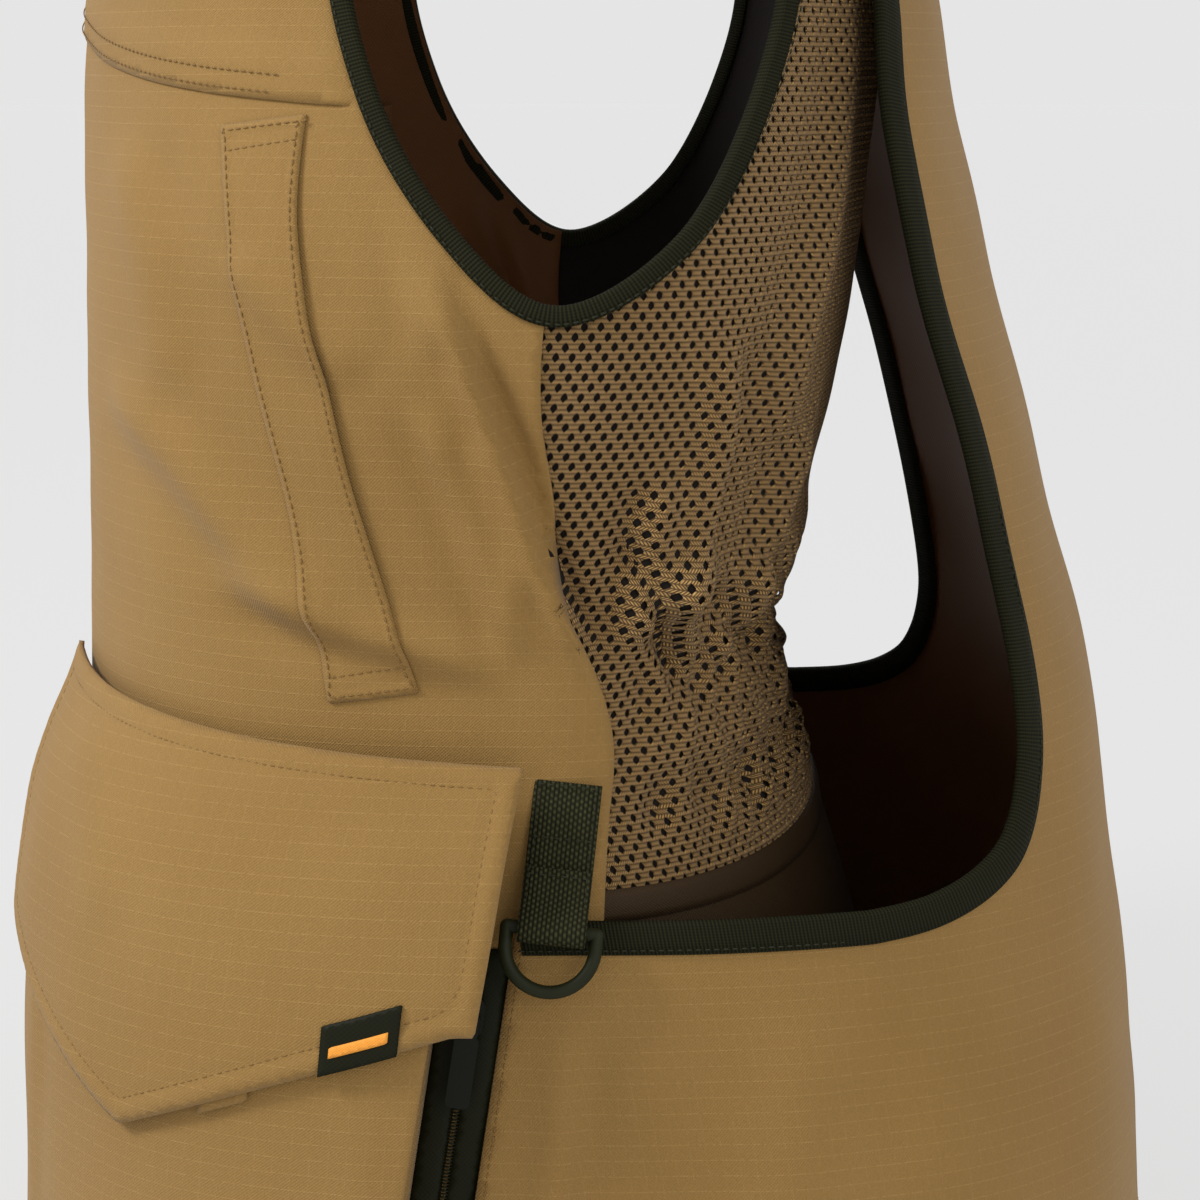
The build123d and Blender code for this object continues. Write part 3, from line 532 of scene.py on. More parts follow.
grid, g_in, g_out = group("Ripstop grid", "ShaderNodeTree",
                          [("Vector", "NodeSocketVector", None), ("Pitch", "NodeSocketFloat", 0.0059),
                           ("Thread", "NodeSocketFloat", 0.0005)],
                          [("Line", "NodeSocketFloat")])
xyz = add(grid, "ShaderNodeSeparateXYZ", {0: g_in["Vector"]}).outputs
half_pitch = sums(grid, "MULTIPLY", g_in["Pitch"], 0.5)
lines = []
for axis, strength in ((0, 0.35), (1, 1.0)):
    saw = sums(grid, "PINGPONG", xyz[axis], half_pitch)
    near = add(grid, "ShaderNodeMapRange",
               {"Value": saw, "From Min": 0.0, "From Max": g_in["Thread"], "To Min": 1.0,
                                            "To Max": 0.0}, interpolation_type="SMOOTHSTEP").outputs[0]
    lines.append(sums(grid, "MULTIPLY", near, strength))
stretched = add(grid, "ShaderNodeMapping",
                {"Vector": g_in["Vector"], "Scale": (700.0, 260.0, 1.0)}).outputs[0]
broken = add(grid, "ShaderNodeTexNoise", {"Vector": stretched, "Scale": 1.0, "Detail": 1.0}).outputs[0]
broken = add(grid, "ShaderNodeMapRange", {"Value": broken, "From Min": 0.35, "From Max": 0.6}).outputs[0]
both = sums(grid, "MAXIMUM", lines[0], lines[1])
grid.links.new(sums(grid, "MULTIPLY", both, broken), g_out["Line"])

age, a_in, a_out = group("Age", "ShaderNodeTree",
                         [("Vector", "NodeSocketVector", None), ("Patch Scale", "NodeSocketFloat", 9.0),
                          ("Grain Scale", "NodeSocketFloat", 1400.0)],
                         [("Tone", "NodeSocketFloat"), ("Grain", "NodeSocketFloat")])
patches = add(age, "ShaderNodeTexNoise",
              {"Vector": a_in["Vector"], "Scale": a_in["Patch Scale"], "Detail": 4.0})
fine = add(age, "ShaderNodeTexNoise",
           {"Vector": a_in["Vector"], "Scale": a_in["Grain Scale"], "Detail": 2.0})
age.links.new(patches.outputs[0], a_out["Tone"])
age.links.new(fine.outputs[0], a_out["Grain"])
print("node groups:", [tree.name for tree in bpy.data.node_groups])

# %% [markdown]
# ## Cloth finishes
# Cloth scatters light, so every finish is rough, and the ripstop and the knit have a little sheen. The
# relief that is too fine to model, such as threads and ribs, is a Bump node fed by the shared groups.
# Colours sit a little apart and are mixed by the age and weave masks.

# %% Cloth materials


def start_material(name, roughness, sheen=0.0):
    """An empty material with its shader. Returns the tree and the shader's inputs."""
    made = bpy.data.materials.new(name)
    made.use_nodes = True
    shader = made.node_tree.nodes["Principled BSDF"].inputs
    shader["Roughness"].default_value = roughness
    shader["Specular IOR Level"].default_value = 0.25
    shader["Sheen Weight"].default_value = sheen
    shader["Sheen Roughness"].default_value = 0.5
    return made, made.node_tree, shader


def mixed(tree, factor, a, b):
    """Mixes two colours, each a colour value or a socket."""
    return add(tree, "ShaderNodeMix", {"Factor": factor, 6: a, 7: b}, data_type="RGBA").outputs[2]


def bump(tree, shader, height, distance, strength=1.0):
    """Feeds a height to the shader's normal."""
    made = add(tree, "ShaderNodeBump", {"Height": height, "Distance": distance, "Strength": strength})
    tree.links.new(made.outputs[0], shader["Normal"])


def place_groups(tree):
    """The cloth's own coordinates, and the age group on the object's coordinates."""
    cloth = add(tree, "ShaderNodeUVMap", uv_map="Cloth").outputs[0]
    thing = add(tree, "ShaderNodeTexCoord").outputs["Object"]
    worn = tree.nodes.new("ShaderNodeGroup")
    worn.node_tree = age
    tree.links.new(thing, worn.inputs["Vector"])
    return cloth, worn.outputs


def use_group(tree, which, **sockets):
    """Places a node group in a material."""
    made = tree.nodes.new("ShaderNodeGroup")
    made.node_tree = which
    for key, value in sockets.items():
        socket = made.inputs[key.replace("_", " ")]
        if isinstance(value, bpy.types.NodeSocket):
            tree.links.new(value, socket)
        else:
            socket.default_value = value
    return made.outputs


def ripstop_material(name, light, dark, line):
    """Fine plain cloth with a thicker thread every few millimetres."""
    made, tree, shader = start_material(name, 0.82, 0.08)
    cloth, worn = place_groups(tree)
    threads = use_group(tree, weave, Vector=cloth, Across=0.00062, Along=0.00062)
    squares = use_group(tree, grid, Vector=cloth, Pitch=0.0059, Thread=0.00042)
    tone = add(tree, "ShaderNodeMapRange",
               {"Value": worn["Tone"], "From Min": 0.3, "From Max": 0.7}).outputs[0]
    base = mixed(tree, tone, dark, light)
    grain = add(tree, "ShaderNodeMapRange",
                {"Value": worn["Grain"], "From Min": 0.3, "From Max": 0.7, "To Min": 0.0,
                                             "To Max": 0.42}).outputs[0]
    base = mixed(tree, grain, base, tuple(c * 0.72 for c in dark[:3]) + (1.0,))
    base = mixed(tree, sums(tree, "MULTIPLY", squares["Line"], 0.36), base, line)
    tree.links.new(base, shader["Base Color"])
    bump(tree, shader, sums(tree, "MULTIPLY_ADD", squares["Line"], 0.8, threads["Height"]), 0.00022, 0.7)
    return made


def ribbed_material(name, light, dark, rib, along):
    """Grosgrain tape: ribs that run across it, drawn along its length."""
    made, tree, shader = start_material(name, 0.75)
    cloth, worn = place_groups(tree)
    u, v, _ = add(tree, "ShaderNodeSeparateXYZ", {0: cloth}).outputs
    ribs = sums(tree, "SINE", sums(tree, "MULTIPLY", u, 2 * math.pi / rib))
    fine = sums(tree, "SINE", sums(tree, "MULTIPLY", v, 2 * math.pi / along))
    height = sums(tree, "MULTIPLY_ADD", fine, 0.18, sums(tree, "MULTIPLY_ADD", ribs, 0.5, 0.5))
    shade = add(tree, "ShaderNodeMapRange", {"Value": height, "From Min": 0.0, "From Max": 1.0}).outputs[0]
    shade = sums(tree, "MULTIPLY", shade, sums(tree, "ADD", worn["Tone"], 0.35))
    tree.links.new(mixed(tree, shade, dark, light), shader["Base Color"])
    bump(tree, shader, height, 0.00025, 0.9)
    return made


def webbing_material(name, light, dark):
    """Heavy strap: chains of stitches side by side, every other one half a step along."""
    made, tree, shader = start_material(name, 0.7)
    cloth, worn = place_groups(tree)
    u, v, _ = add(tree, "ShaderNodeSeparateXYZ", {0: cloth}).outputs
    column = sums(tree, "DIVIDE", u, 0.0016)
    odd = sums(tree, "MULTIPLY", sums(tree, "MODULO", sums(tree, "FLOOR", column), 2.0), math.pi)
    ridge = sums(tree, "ABSOLUTE", sums(tree, "SINE", sums(tree, "MULTIPLY", column, math.pi)))
    links = sums(tree, "SINE", sums(tree, "MULTIPLY_ADD", v, 2 * math.pi / 0.0024, odd))
    height = sums(tree, "MULTIPLY", ridge, sums(tree, "MULTIPLY_ADD", links, 0.4, 0.6))
    shade = sums(tree, "MULTIPLY", height, sums(tree, "ADD", worn["Grain"], 0.4))
    tree.links.new(mixed(tree, shade, dark, light), shader["Base Color"])
    bump(tree, shader, height, 0.0006, 1.0)
    return made


def plain_material(name, light, dark, roughness, pitch=0.0008, depth=0.00015, sheen=0.0):
    """Plain woven cloth with no pattern."""
    made, tree, shader = start_material(name, roughness, sheen)
    cloth, worn = place_groups(tree)
    threads = use_group(tree, weave, Vector=cloth, Across=pitch, Along=pitch)
    shade = sums(tree, "MULTIPLY", threads["Shade"], sums(tree, "ADD", worn["Tone"], 0.5))
    tree.links.new(mixed(tree, shade, dark, light), shader["Base Color"])
    bump(tree, shader, threads["Height"], depth, 0.7)
    return made


def knit_material(name, light, dark):
    """Mesh yarn: small bright loops that lean one way then the other, row by row."""
    made, tree, shader = start_material(name, 0.6, 0.1)
    cloth, worn = place_groups(tree)
    u, v, _ = add(tree, "ShaderNodeSeparateXYZ", {0: cloth}).outputs
    row = sums(tree, "MODULO", sums(tree, "FLOOR", sums(tree, "DIVIDE", v, 0.0018)), 2.0)
    lean = sums(tree, "MULTIPLY_ADD", row, 2.0, -1.0)
    slanted = sums(tree, "MULTIPLY_ADD", sums(tree, "MULTIPLY", v, lean), 0.7, u)
    loops = sums(tree, "SINE", sums(tree, "MULTIPLY", slanted, 2 * math.pi / 0.00088))
    rows = sums(tree, "ABSOLUTE", sums(tree, "SINE", sums(tree, "MULTIPLY", v, math.pi / 0.0018)))
    height = sums(tree, "MULTIPLY", sums(tree, "MULTIPLY_ADD", loops, 0.5, 0.5), rows)
    shade = sums(tree, "MULTIPLY", height, sums(tree, "ADD", worn["Grain"], 0.75))
    tree.links.new(mixed(tree, shade, dark, light), shader["Base Color"])
    bump(tree, shader, height, 0.0005, 1.0)
    return made


tan = ripstop_material("Tan ripstop", colour(148, 115, 63), colour(139, 106, 55), colour(174, 140, 85))
# The tan thread is mixed towards a darker brown as painted shade: it stands for the shadow in the needle
# holes and the sunk stitch line, over the thread's own tan.
tan_thread_with_painted_shade = plain_material("Tan thread with painted shade", colour(142, 110, 62), colour(104, 76, 36), 0.6, 0.0004)
knit = knit_material("Brown knit", colour(190, 150, 88), colour(70, 47, 18))
# The knit's inner face is near black as painted shade: it stands for the shade deep in the mesh's holes, not
# for the yarn's own brown.
knit_hole_painted_shade = plain_material("Knit inner face in painted shade", colour(20, 11, 4), colour(10, 5, 2), 0.8)
lining = plain_material("Brown lining", colour(122, 78, 40), colour(78, 48, 22), 0.6)
band = plain_material("Brown twill", colour(66, 47, 22), colour(38, 25, 10), 0.7, 0.0007, 0.00025)
elastic = ribbed_material("Brown elastic", colour(70, 50, 26), colour(30, 20, 9), 0.0016, 0.0012)
grosgrain = ribbed_material("Green grosgrain", colour(38, 38, 19), colour(14, 14, 5), 0.0014, 0.0011)
webbing = webbing_material("Green webbing", colour(70, 70, 43), colour(11, 11, 3))
zip_tape = plain_material("Green zip tape", colour(28, 29, 14), colour(17, 18, 7), 0.55, 0.0009, 0.00006)
green_thread = plain_material("Green thread", colour(44, 45, 25), colour(24, 25, 10), 0.6, 0.0004)
for cloth in (grosgrain, webbing, zip_tape):
    cloth.node_tree.nodes["Principled BSDF"].inputs["Specular IOR Level"].default_value = 0.1

# %% [markdown]
# ## Moulded finishes
# Zip teeth, sliders and D-rings are moulded or painted. A Principled shader with a middling roughness, and
# a fine noise in its bump, reads as moulded plastic or a painted casting. A little wear lightens the colour.

# %% Plastic and painted metal


def moulded_material(name, light, dark, roughness):
    """Moulded plastic or a painted casting."""
    made, tree, shader = start_material(name, roughness)
    shader["Specular IOR Level"].default_value = 0.15
    thing = add(tree, "ShaderNodeTexCoord").outputs["Object"]
    worn = use_group(tree, age, Vector=thing, Patch_Scale=60.0, Grain_Scale=2600.0)
    tree.links.new(mixed(tree, worn["Tone"], dark, light), shader["Base Color"])
    rough = add(tree, "ShaderNodeMapRange", {"Value": worn["Grain"], "To Min": roughness - 0.08, "To Max":
                                             roughness + 0.12}).outputs[0]
    tree.links.new(rough, shader["Roughness"])
    bump(tree, shader, worn["Grain"], 0.00008, 0.5)
    return made


ring_plastic = moulded_material("Dark green plastic", colour(38, 40, 20), colour(24, 26, 11), 0.5)
tooth_plastic = moulded_material("Zip plastic", colour(26, 28, 12), colour(16, 18, 7), 0.45)
slider_paint = moulded_material("Painted slider", colour(17, 18, 8), colour(9, 10, 4), 0.48)
for node_name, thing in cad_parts.items():
    finish = {"d_ring": ring_plastic, "zip_slider": slider_paint, "zip_pull": slider_paint}
    for part_name, material in finish.items():
        if part_name in node_name:
            thing.data.materials.clear()
            thing.data.materials.append(material)
print("materials:", len(bpy.data.materials))

# %% [markdown]
# ## Pattern outlines
# The outlines are drawn as a maker draws them: the side seam, armhole and welt in a side view, the neck and
# the bag's opening in a front view. Each drawn line is then carried onto its surface.

# %% Seams, armhole, yoke line and neck
SIDE_SEAM = curve_through([(-5, 0), (1, 190), (4, 240), (-3, 271), (-12, 292), (-17, 330), (-20, 397),
                           (5, 560), (5, 690)], steps=8)
SIDE_SEAM[0] = (0, 0)
ARMHOLE = curve_through([(-15, 403), (-52, 430), (-81, 480), (-92, 545), (-70, 622), (-8, 652), (52, 616),
                         (67, 540), (58, 484), (30, 430)], closed=True, steps=16)
NECK_POINT, NECK_HALF, TOP = 478.0, 86.0, 690.0
YOKE_CENTRE, YOKE_SLOPE, BACK_YOKE = 522.0, -0.19, 548.0
MESH_BOTTOM = 185.0


def seam_y(z):
    """Depth of the side seam at a height."""
    return np.interp(z, SIDE_SEAM[:, 1], SIDE_SEAM[:, 0])


def grown(line, amount):
    """A closed line moved outward along its own normals."""
    ahead, behind = np.roll(line, -1, axis=0), np.roll(line, 1, axis=0)
    way = (ahead - behind) / np.linalg.norm(ahead - behind, axis=1, keepdims=True)
    x, y = line[:, 0], line[:, 1]
    turning = np.sum(x * np.roll(y, -1) - np.roll(x, -1) * y)
    return line + np.sign(turning) * amount * np.stack([way[:, 1], -way[:, 0]], 1)


hole_front = np.array(to_round("front", "y", ARMHOLE))
hole_back = np.array(to_round("back", "y", ARMHOLE))
in_front = np.where(ARMHOLE[:, 0] < seam_y(ARMHOLE[:, 1]))[0]
in_front = in_front[in_front < 110]
behind_side = np.concatenate([np.arange(in_front[-1] + 1, len(ARMHOLE)), np.arange(0, in_front[0])])
hole_x = section("body", turn_at("front", hole_front[:, 0], hole_front[:, 1]), hole_front[:, 1])[:, 0]
YOKE_LAP = 8.0
meets_yoke = next(i for i in in_front if ARMHOLE[i, 1] > YOKE_CENTRE + YOKE_SLOPE * hole_x[i])
meets_fold = next(i for i in in_front if ARMHOLE[i, 1] > YOKE_CENTRE - YOKE_LAP + YOKE_SLOPE * hole_x[i])
seam_low = ARMHOLE[in_front[0], 1]


def seam_line(kind, low, high, count=40):
    """The side seam between two heights, carried onto the body."""
    heights = np.linspace(low, high, count)
    return to_round(kind, "y", list(zip(seam_y(heights), heights)))


def yoke_line(drop=0.0):
    """The front yoke seam from the neck's edge to the armhole."""
    start = (YOKE_CENTRE - NECK_POINT) / (TOP - NECK_POINT) * NECK_HALF * 0.93
    x = np.linspace(start, hole_x[meets_yoke if drop == 0 else meets_fold], 30)
    return to_round("front", "x", list(zip(x, YOKE_CENTRE + YOKE_SLOPE * x - drop)))


def neck_line(low, high, count=24):
    """The V neck's edge between two heights."""
    heights = np.linspace(low, high, count)
    return to_round("front", "x",
                    list(zip(NECK_HALF * (heights - NECK_POINT) / (TOP - NECK_POINT), heights)))


scoop_x = np.linspace(NECK_HALF, 0, 18)
scoop = to_round("back", "x", list(zip(scoop_x, 648 + 42 * (scoop_x / NECK_HALF) ** 3.5)))
shoulder_front = seam_line("front", TOP, ARMHOLE[in_front[-1], 1] + 1, 10)
shoulder_back = seam_line("back", ARMHOLE[behind_side[0], 1] + 1, TOP, 10)
print("armhole round, mm:", round(float(np.linalg.norm(np.diff(ARMHOLE, axis=0), axis=1).sum())))

# %% [markdown]
# ## Front panels and yokes
# Each front is a lower panel and a yoke above it. On the real vest the yoke's lower edge is folded and sewn
# down over the panel, so here the yoke stands a little higher along that edge. Both are cut with the panel
# cutter, laid with the shared relief, and given their thickness by a Solidify modifier.

# %% Front panels, yokes and their linings
ZIP_EDGE = 8.0
SHELL_FACE, LINING_FACE = 3.0, -0.8
armhole_low = [tuple(p) for p in hole_front[in_front[0]:meets_yoke + 1]]
armhole_high = [tuple(p) for p in hole_front[meets_yoke:in_front[-1] + 1]]
neck_start = NECK_POINT + ZIP_EDGE / NECK_HALF * (TOP - NECK_POINT)
yoke_start = yoke_line()[0][1]
front_cut = ([(ZIP_EDGE, 0.0), (ZIP_EDGE, neck_start)] + neck_line(neck_start + 3, yoke_start - 1, 6)
             + yoke_line()
             + armhole_low[::-1] + seam_line("front", seam_low, 0.0))
armhole_over = [tuple(p) for p in hole_front[meets_fold:in_front[-1] + 1]]
yoke_cut = (yoke_line(YOKE_LAP)[::-1] + neck_line(yoke_start - 6, TOP) + shoulder_front[1:]
            + armhole_over[::-1])
lining_cut = ([(ZIP_EDGE, 0.0), (ZIP_EDGE, neck_start)] + neck_line(neck_start + 3, TOP) + shoulder_front[1:]
              + armhole_high[::-1] + armhole_low[::-1] + seam_line("front", seam_low, 0.0))


def yoke_fold(flat, away):
    """The yoke's folded lower edge stands on the panel below it."""
    up = np.abs(line_distance(flat[:, 0], flat[:, 1], yoke_line(YOKE_LAP))[0])
    from_hole = np.abs(line_distance(flat[:, 0], flat[:, 1], hole_front)[0])
    fall = step(from_hole, 3, 14)
    return fall * (1.5 * (1 - step(up, 12, 22)) - 0.5 * np.exp(-(((up - 6) / 1.8) ** 2))) - 0.9 * (1 - fall)


def seam_welt(flat, away):
    """The panel's rear edge is folded back on itself along the side seam."""
    seam = np.array(seam_line("front", 420, 0))
    near = np.abs(line_distance(flat[:, 0], flat[:, 1], seam)[0])
    return 0.9 * np.exp(-((near / 2.2) ** 2))


for side, name in ((1, "left"), (-1, "right")):
    front = panel("front_panel_" + name + "_cloth", "front", front_cut, SHELL_FACE, 1.1, tan, 3.6, side,
                  body_relief, extra=seam_welt)
    declare(front, "hung", ["front_yoke_" + name + "_cloth"], "front_panel_" + name, slot="ripstop_tan")
    yoke = panel("front_yoke_" + name + "_cloth", "front", yoke_cut, SHELL_FACE + 0.2, 1.1, tan, 3.6, side,
                 body_relief, extra=yoke_fold)
    declare(yoke, "hung", ["hanger_loop_tape"], "front_yoke_" + name, slot="ripstop_tan")
    inner = panel("front_lining_" + name + "_cloth", "front", lining_cut, LINING_FACE, 0.6, lining, 5.0,
                  side, body_relief)
    declare(inner, "hung", ["front_yoke_" + name + "_cloth"], "front_lining_" + name, slot="lining_brown")

# %% [markdown]
# ## The back
# Above is a cloth yoke, below it a mesh panel to the waist, and a plain twill wall inside the bag. The mesh
# is the showpiece: a real one is a warp knit with an upright hole in each cell, cells staggered like bricks.
# The cells are drawn flat as hexagons. Geometry Nodes then shrinks a copy of each cell to the hole's shape,
# pushes it in for the yarn's depth and deletes it, which leaves a ring of yarn round each hole. The flat
# knit is laid on the body afterwards, so one node tree serves any shape of panel.

# %% Back yoke, twill wall and elastic
armhole_rear = [tuple(p) for p in hole_back[behind_side]]
above = [p for p in armhole_rear if p[1] > BACK_YOKE]
below = [p for p in armhole_rear if p[1] <= BACK_YOKE + 8]
half = ([(above[-1][0], BACK_YOKE)] + above[::-1] + shoulder_back[:-1] + scoop)
back_cut = half[:-1] + [(0.0, 648.0)] + [(-w, z) for w, z in half[:-1]][::-1]
back_yoke = panel("back_yoke_cloth", "back", back_cut, SHELL_FACE + 0.2, 1.1, tan, 4.5, 1, body_relief,
                  stitched=6.0)
declare(back_yoke, "hung", ["hanger_loop_tape"], "back_yoke", slot="ripstop_tan")
back_lining = panel("back_yoke_lining_cloth", "back", back_cut, LINING_FACE, 0.6, lining, 5.5, 1,
                    body_relief)
declare(back_lining, "hung", ["back_yoke_cloth"], "back_yoke_lining", slot="lining_brown")
wall_half = seam_line("back", 0, MESH_BOTTOM + 2, 20)
wall_cut = wall_half + [(-w, z) for w, z in wall_half[::-1]]
wall = panel("inner_bag_wall_cloth", "back", wall_cut, 1.6, 0.9, band, 6.0, 1, body_relief, stitched=5.0)
declare(wall, "hung", ["mesh_back_left_knit", "mesh_back_right_knit"], "inner_bag_wall", slot="twill_tan")
elastic_half = [(w + 4, z) for w, z in seam_line("back", 242, 267, 5)]
elastic_strip = panel("waist_elastic_tape", "back", elastic_half + [(-w, z) for w, z in elastic_half[::-1]],
                      -0.4, 1.0, elastic, 3.5, 1, body_relief)
declare(elastic_strip, "stretched", ["mesh_back_left_knit", "mesh_back_right_knit"], "waist_elastic",
        slot="elastic_brown")

# %% The knit's node tree
knit_tree, k_in, k_out = group("Knit holes", "GeometryNodeTree",
                               [("Geometry", "NodeSocketGeometry", None),
                                ("Hole Width", "NodeSocketFloat", 0.3),
                                ("Hole Height", "NodeSocketFloat", 0.5), ("Depth", "NodeSocketFloat", 0.9),
                                ("Yarn", "NodeSocketMaterial", None)],
                               [("Geometry", "NodeSocketGeometry")])
lip = add(knit_tree, "GeometryNodeExtrudeMesh",
          {"Mesh": k_in["Geometry"], "Offset Scale": 0.0, "Individual": True})
tall = add(knit_tree, "GeometryNodeScaleElements",
           {"Geometry": lip.outputs["Mesh"], "Selection": lip.outputs["Top"],
                                                    "Scale": k_in["Hole Height"], "Axis": (0.0, 0.0, 1.0)},
           scale_mode="SINGLE_AXIS")
slim = add(knit_tree, "GeometryNodeScaleElements",
           {"Geometry": tall.outputs[0], "Selection": lip.outputs["Top"],
                                                    "Scale": k_in["Hole Width"], "Axis": (1.0, 0.0, 0.0)},
           scale_mode="SINGLE_AXIS")
inward = add(knit_tree, "ShaderNodeCombineXYZ", {1: k_in["Depth"]}).outputs[0]
wall_in = add(knit_tree, "GeometryNodeExtrudeMesh",
              {"Mesh": slim.outputs[0], "Selection": lip.outputs["Top"],
                                                     "Offset": inward, "Offset Scale": 1.0,
                                                     "Individual": True})
open_hole = add(knit_tree, "GeometryNodeDeleteGeometry", {"Geometry": wall_in.outputs["Mesh"],
                                                          "Selection": wall_in.outputs["Top"]},
                                                          domain="FACE")
real = add(knit_tree, "GeometryNodeRealizeInstances", {"Geometry": open_hole.outputs[0]})
dressed = add(knit_tree, "GeometryNodeSetMaterial", {"Geometry": real.outputs[0], "Material": k_in["Yarn"]})
knit_tree.links.new(dressed.outputs[0], k_out["Geometry"])


def through_nodes(source, tree, values):
    """Runs an object through a node tree and returns the result as a new plain mesh."""
    live = source.modifiers.new("Nodes", "NODES")
    live.node_group = tree
    for item in tree.interface.items_tree:
        if item.in_out == "INPUT" and item.name in values:
            live[item.identifier] = values[item.name]
    bpy.context.view_layer.update()
    view = bpy.context.evaluated_depsgraph_get()
    mesh = bpy.data.meshes.new_from_object(source.evaluated_get(view), preserve_all_data_layers=True,
                                           depsgraph=view)
    source.modifiers.remove(live)
    bpy.data.objects.remove(source)
    return mesh


# %% The mesh back panel
PITCH_ACROSS, PITCH_UP = 5.8, 7.2
HOLE_WIDE, HOLE_TALL, YARN_DEPTH = 0.43, 0.68, 0.8
KNIT_FACE = 1.9
mesh_cut = np.array([(0.0, MESH_BOTTOM - 8)]
                    + [(w + 8, z) for w, z in seam_line("back", MESH_BOTTOM - 8, seam_low - 3)]
                    + below[::-1] + [(0.0, BACK_YOKE + 8)])
cell_x = np.array([0, 2.9, 2.9, 0, -2.9, -2.9])
cell_z = np.array([2.968, 0.632, -0.632, -2.968, -0.632, 0.632])
columns = np.arange(0, mesh_cut[:, 0].max() + 6, PITCH_ACROSS / 2)
for side, name in ((1, "left"), (-1, "right")):
    centres = np.array([(x, z + (i % 2) * PITCH_UP / 2) for i, x in enumerate(columns)
                        for z in np.arange(MESH_BOTTOM - 8, BACK_YOKE + 12, PITCH_UP)])
    closed_cut = np.vstack([mesh_cut, mesh_cut[:1]])
    edge_gap = np.abs(line_distance(centres[:, 0], centres[:, 1], closed_cut)[0])
    keep = inside(centres, mesh_cut) & ((edge_gap > 3.0) | (centres[:, 0] < 4))
    centres = centres[keep]
    if side < 0:
        centres = centres[centres[:, 0] > 1]
    corners, cells, seen = [], [], {}
    for x, z in centres:
        cell = []
        for dx, dz in zip(cell_x, cell_z):
            key = (round((x + dx) * 10), round((z + dz) * 10))
            if key not in seen:
                seen[key] = len(corners)
                corners.append((x + dx, 0.0, z + dz))
            cell.append(seen[key])
        cells.append(cell[::-1])
    flat_knit = new_object("flat_knit", corners, cells)
    mesh = through_nodes(flat_knit, knit_tree, {"Hole Width": HOLE_WIDE, "Hole Height": HOLE_TALL,
                                                "Depth": YARN_DEPTH, "Yarn": knit})
    flat = np.array([v.co for v in mesh.vertices])
    lift = KNIT_FACE - flat[:, 1]
    points = place("back", flat[:, 0], flat[:, 2], lift, body_relief, side)
    mesh.vertices.foreach_set("co", points.astype(np.float32).ravel())
    layer = mesh.uv_layers.new(name="Cloth")
    index = np.zeros(len(mesh.loops), int)
    mesh.loops.foreach_get("vertex_index", index)
    layer.data.foreach_set("uv", (flat[:, [0, 2]] * MM).astype(np.float32)[index].ravel())
    if side < 0:
        mesh.flip_normals()
    mesh.shade_smooth()
    mesh.update()
    knitted = bpy.data.objects.new("mesh_back_" + name + "_knit", mesh)
    bpy.context.scene.collection.objects.link(knitted)
    width, length = float(np.ptp(flat[:, 0])) * MM, float(np.ptp(flat[:, 2])) * MM
    declare(knitted, "gathered", ["back_yoke_cloth"], *(["mesh_back_panel"] if side > 0 else []),
            slot="mesh_brown")
    print(knitted.name, "cells:", len(centres), "faces:", len(mesh.polygons))

# %% [markdown]
# A spacer mesh has a second, closed face behind the open one, which is why no light comes through its
# holes. It is cut as one plain sheet just inside the knit, near black as painted shade for the depth of
# the holes. A strip of the bag wall's twill is sewn over the knit's cut lower edge.

# %% The mesh's closed inner face, in painted shade
half = [(w + 6, z) for w, z in seam_line("back", MESH_BOTTOM - 4, seam_low - 2)] + below[::-1]
backing_cut = half + [(0.0, BACK_YOKE + 6)] + [(-w, z) for w, z in half[::-1]]
# This sheet's near-black colour is painted shade for the holes of the knit in front of it.
backing = panel("mesh_back_inner_face_painted_shade", "back", backing_cut, 0.6, 0.5, knit_hole_painted_shade, 5.0, 1, body_relief)
declare(backing, "gathered", ["back_yoke_cloth"], slot="mesh_brown")
strip_half = [(w + 4, z) for w, z in seam_line("back", MESH_BOTTOM - 9, MESH_BOTTOM + 3, 5)]
strip = panel("mesh_bottom_band_tape", "back", strip_half + [(-w, z) for w, z in strip_half[::-1]], 3.0, 0.8,
              band, 3.5, 1, body_relief, stitched=3.0)
declare(strip, "laid", ["inner_bag_wall_cloth"], slot="twill_tan")

# %% [markdown]
# ## The game bag
# The bag is one wide panel from side zip to side zip, with a tall rounded opening at each side. It has a
# lining and a floor. Its relief is its own: a soft dart falls from each D-ring, and the back sags a little.

# %% Bag panel, lining and floor
ZIP_TOP, ZIP_BOTTOM, TAPE_HALF = (-44.0, 168.0), (-68.0, 10.0), 12.0
OPENING_LOW = 178.0


def zip_y(z, aside=0.0):
    """Depth of the side zip's centre line at a height, moved aside."""
    (low_y, low_z), (high_y, high_z) = ZIP_BOTTOM, ZIP_TOP
    return low_y + (z - low_z) * (high_y - low_y) / (high_z - low_z) + aside


opening_side = curve_through([(228, 178), (217, 181.5), (205, 189), (195, 200), (187, 219), (182, 246),
                              (180, 300),
                              (177, 394), (172, 470), (161, 515), (148, 552), (144, 560)], steps=6)
corner = round_at("bag", "x", 228, 178)
zip_at_opening = round_at("bag", "y", zip_y(OPENING_LOW, TAPE_HALF), OPENING_LOW)
opening_line = ([(w, OPENING_LOW) for w in np.linspace(zip_at_opening, corner, 16)[:-1]]
                + to_round("bag", "x", [tuple(p) for p in opening_side]))
heights = np.linspace(0, OPENING_LOW, 16)
zip_side = to_round("bag", "y", list(zip(zip_y(heights, TAPE_HALF), heights)))
half = zip_side[:-1] + opening_line
bag_cut = half + [(-w, z) for w, z in half[::-1]]
bag = panel("bag_outer_panel_cloth", "bag", bag_cut, 2.0, 1.2, tan, 5.0, 1, bag_relief)
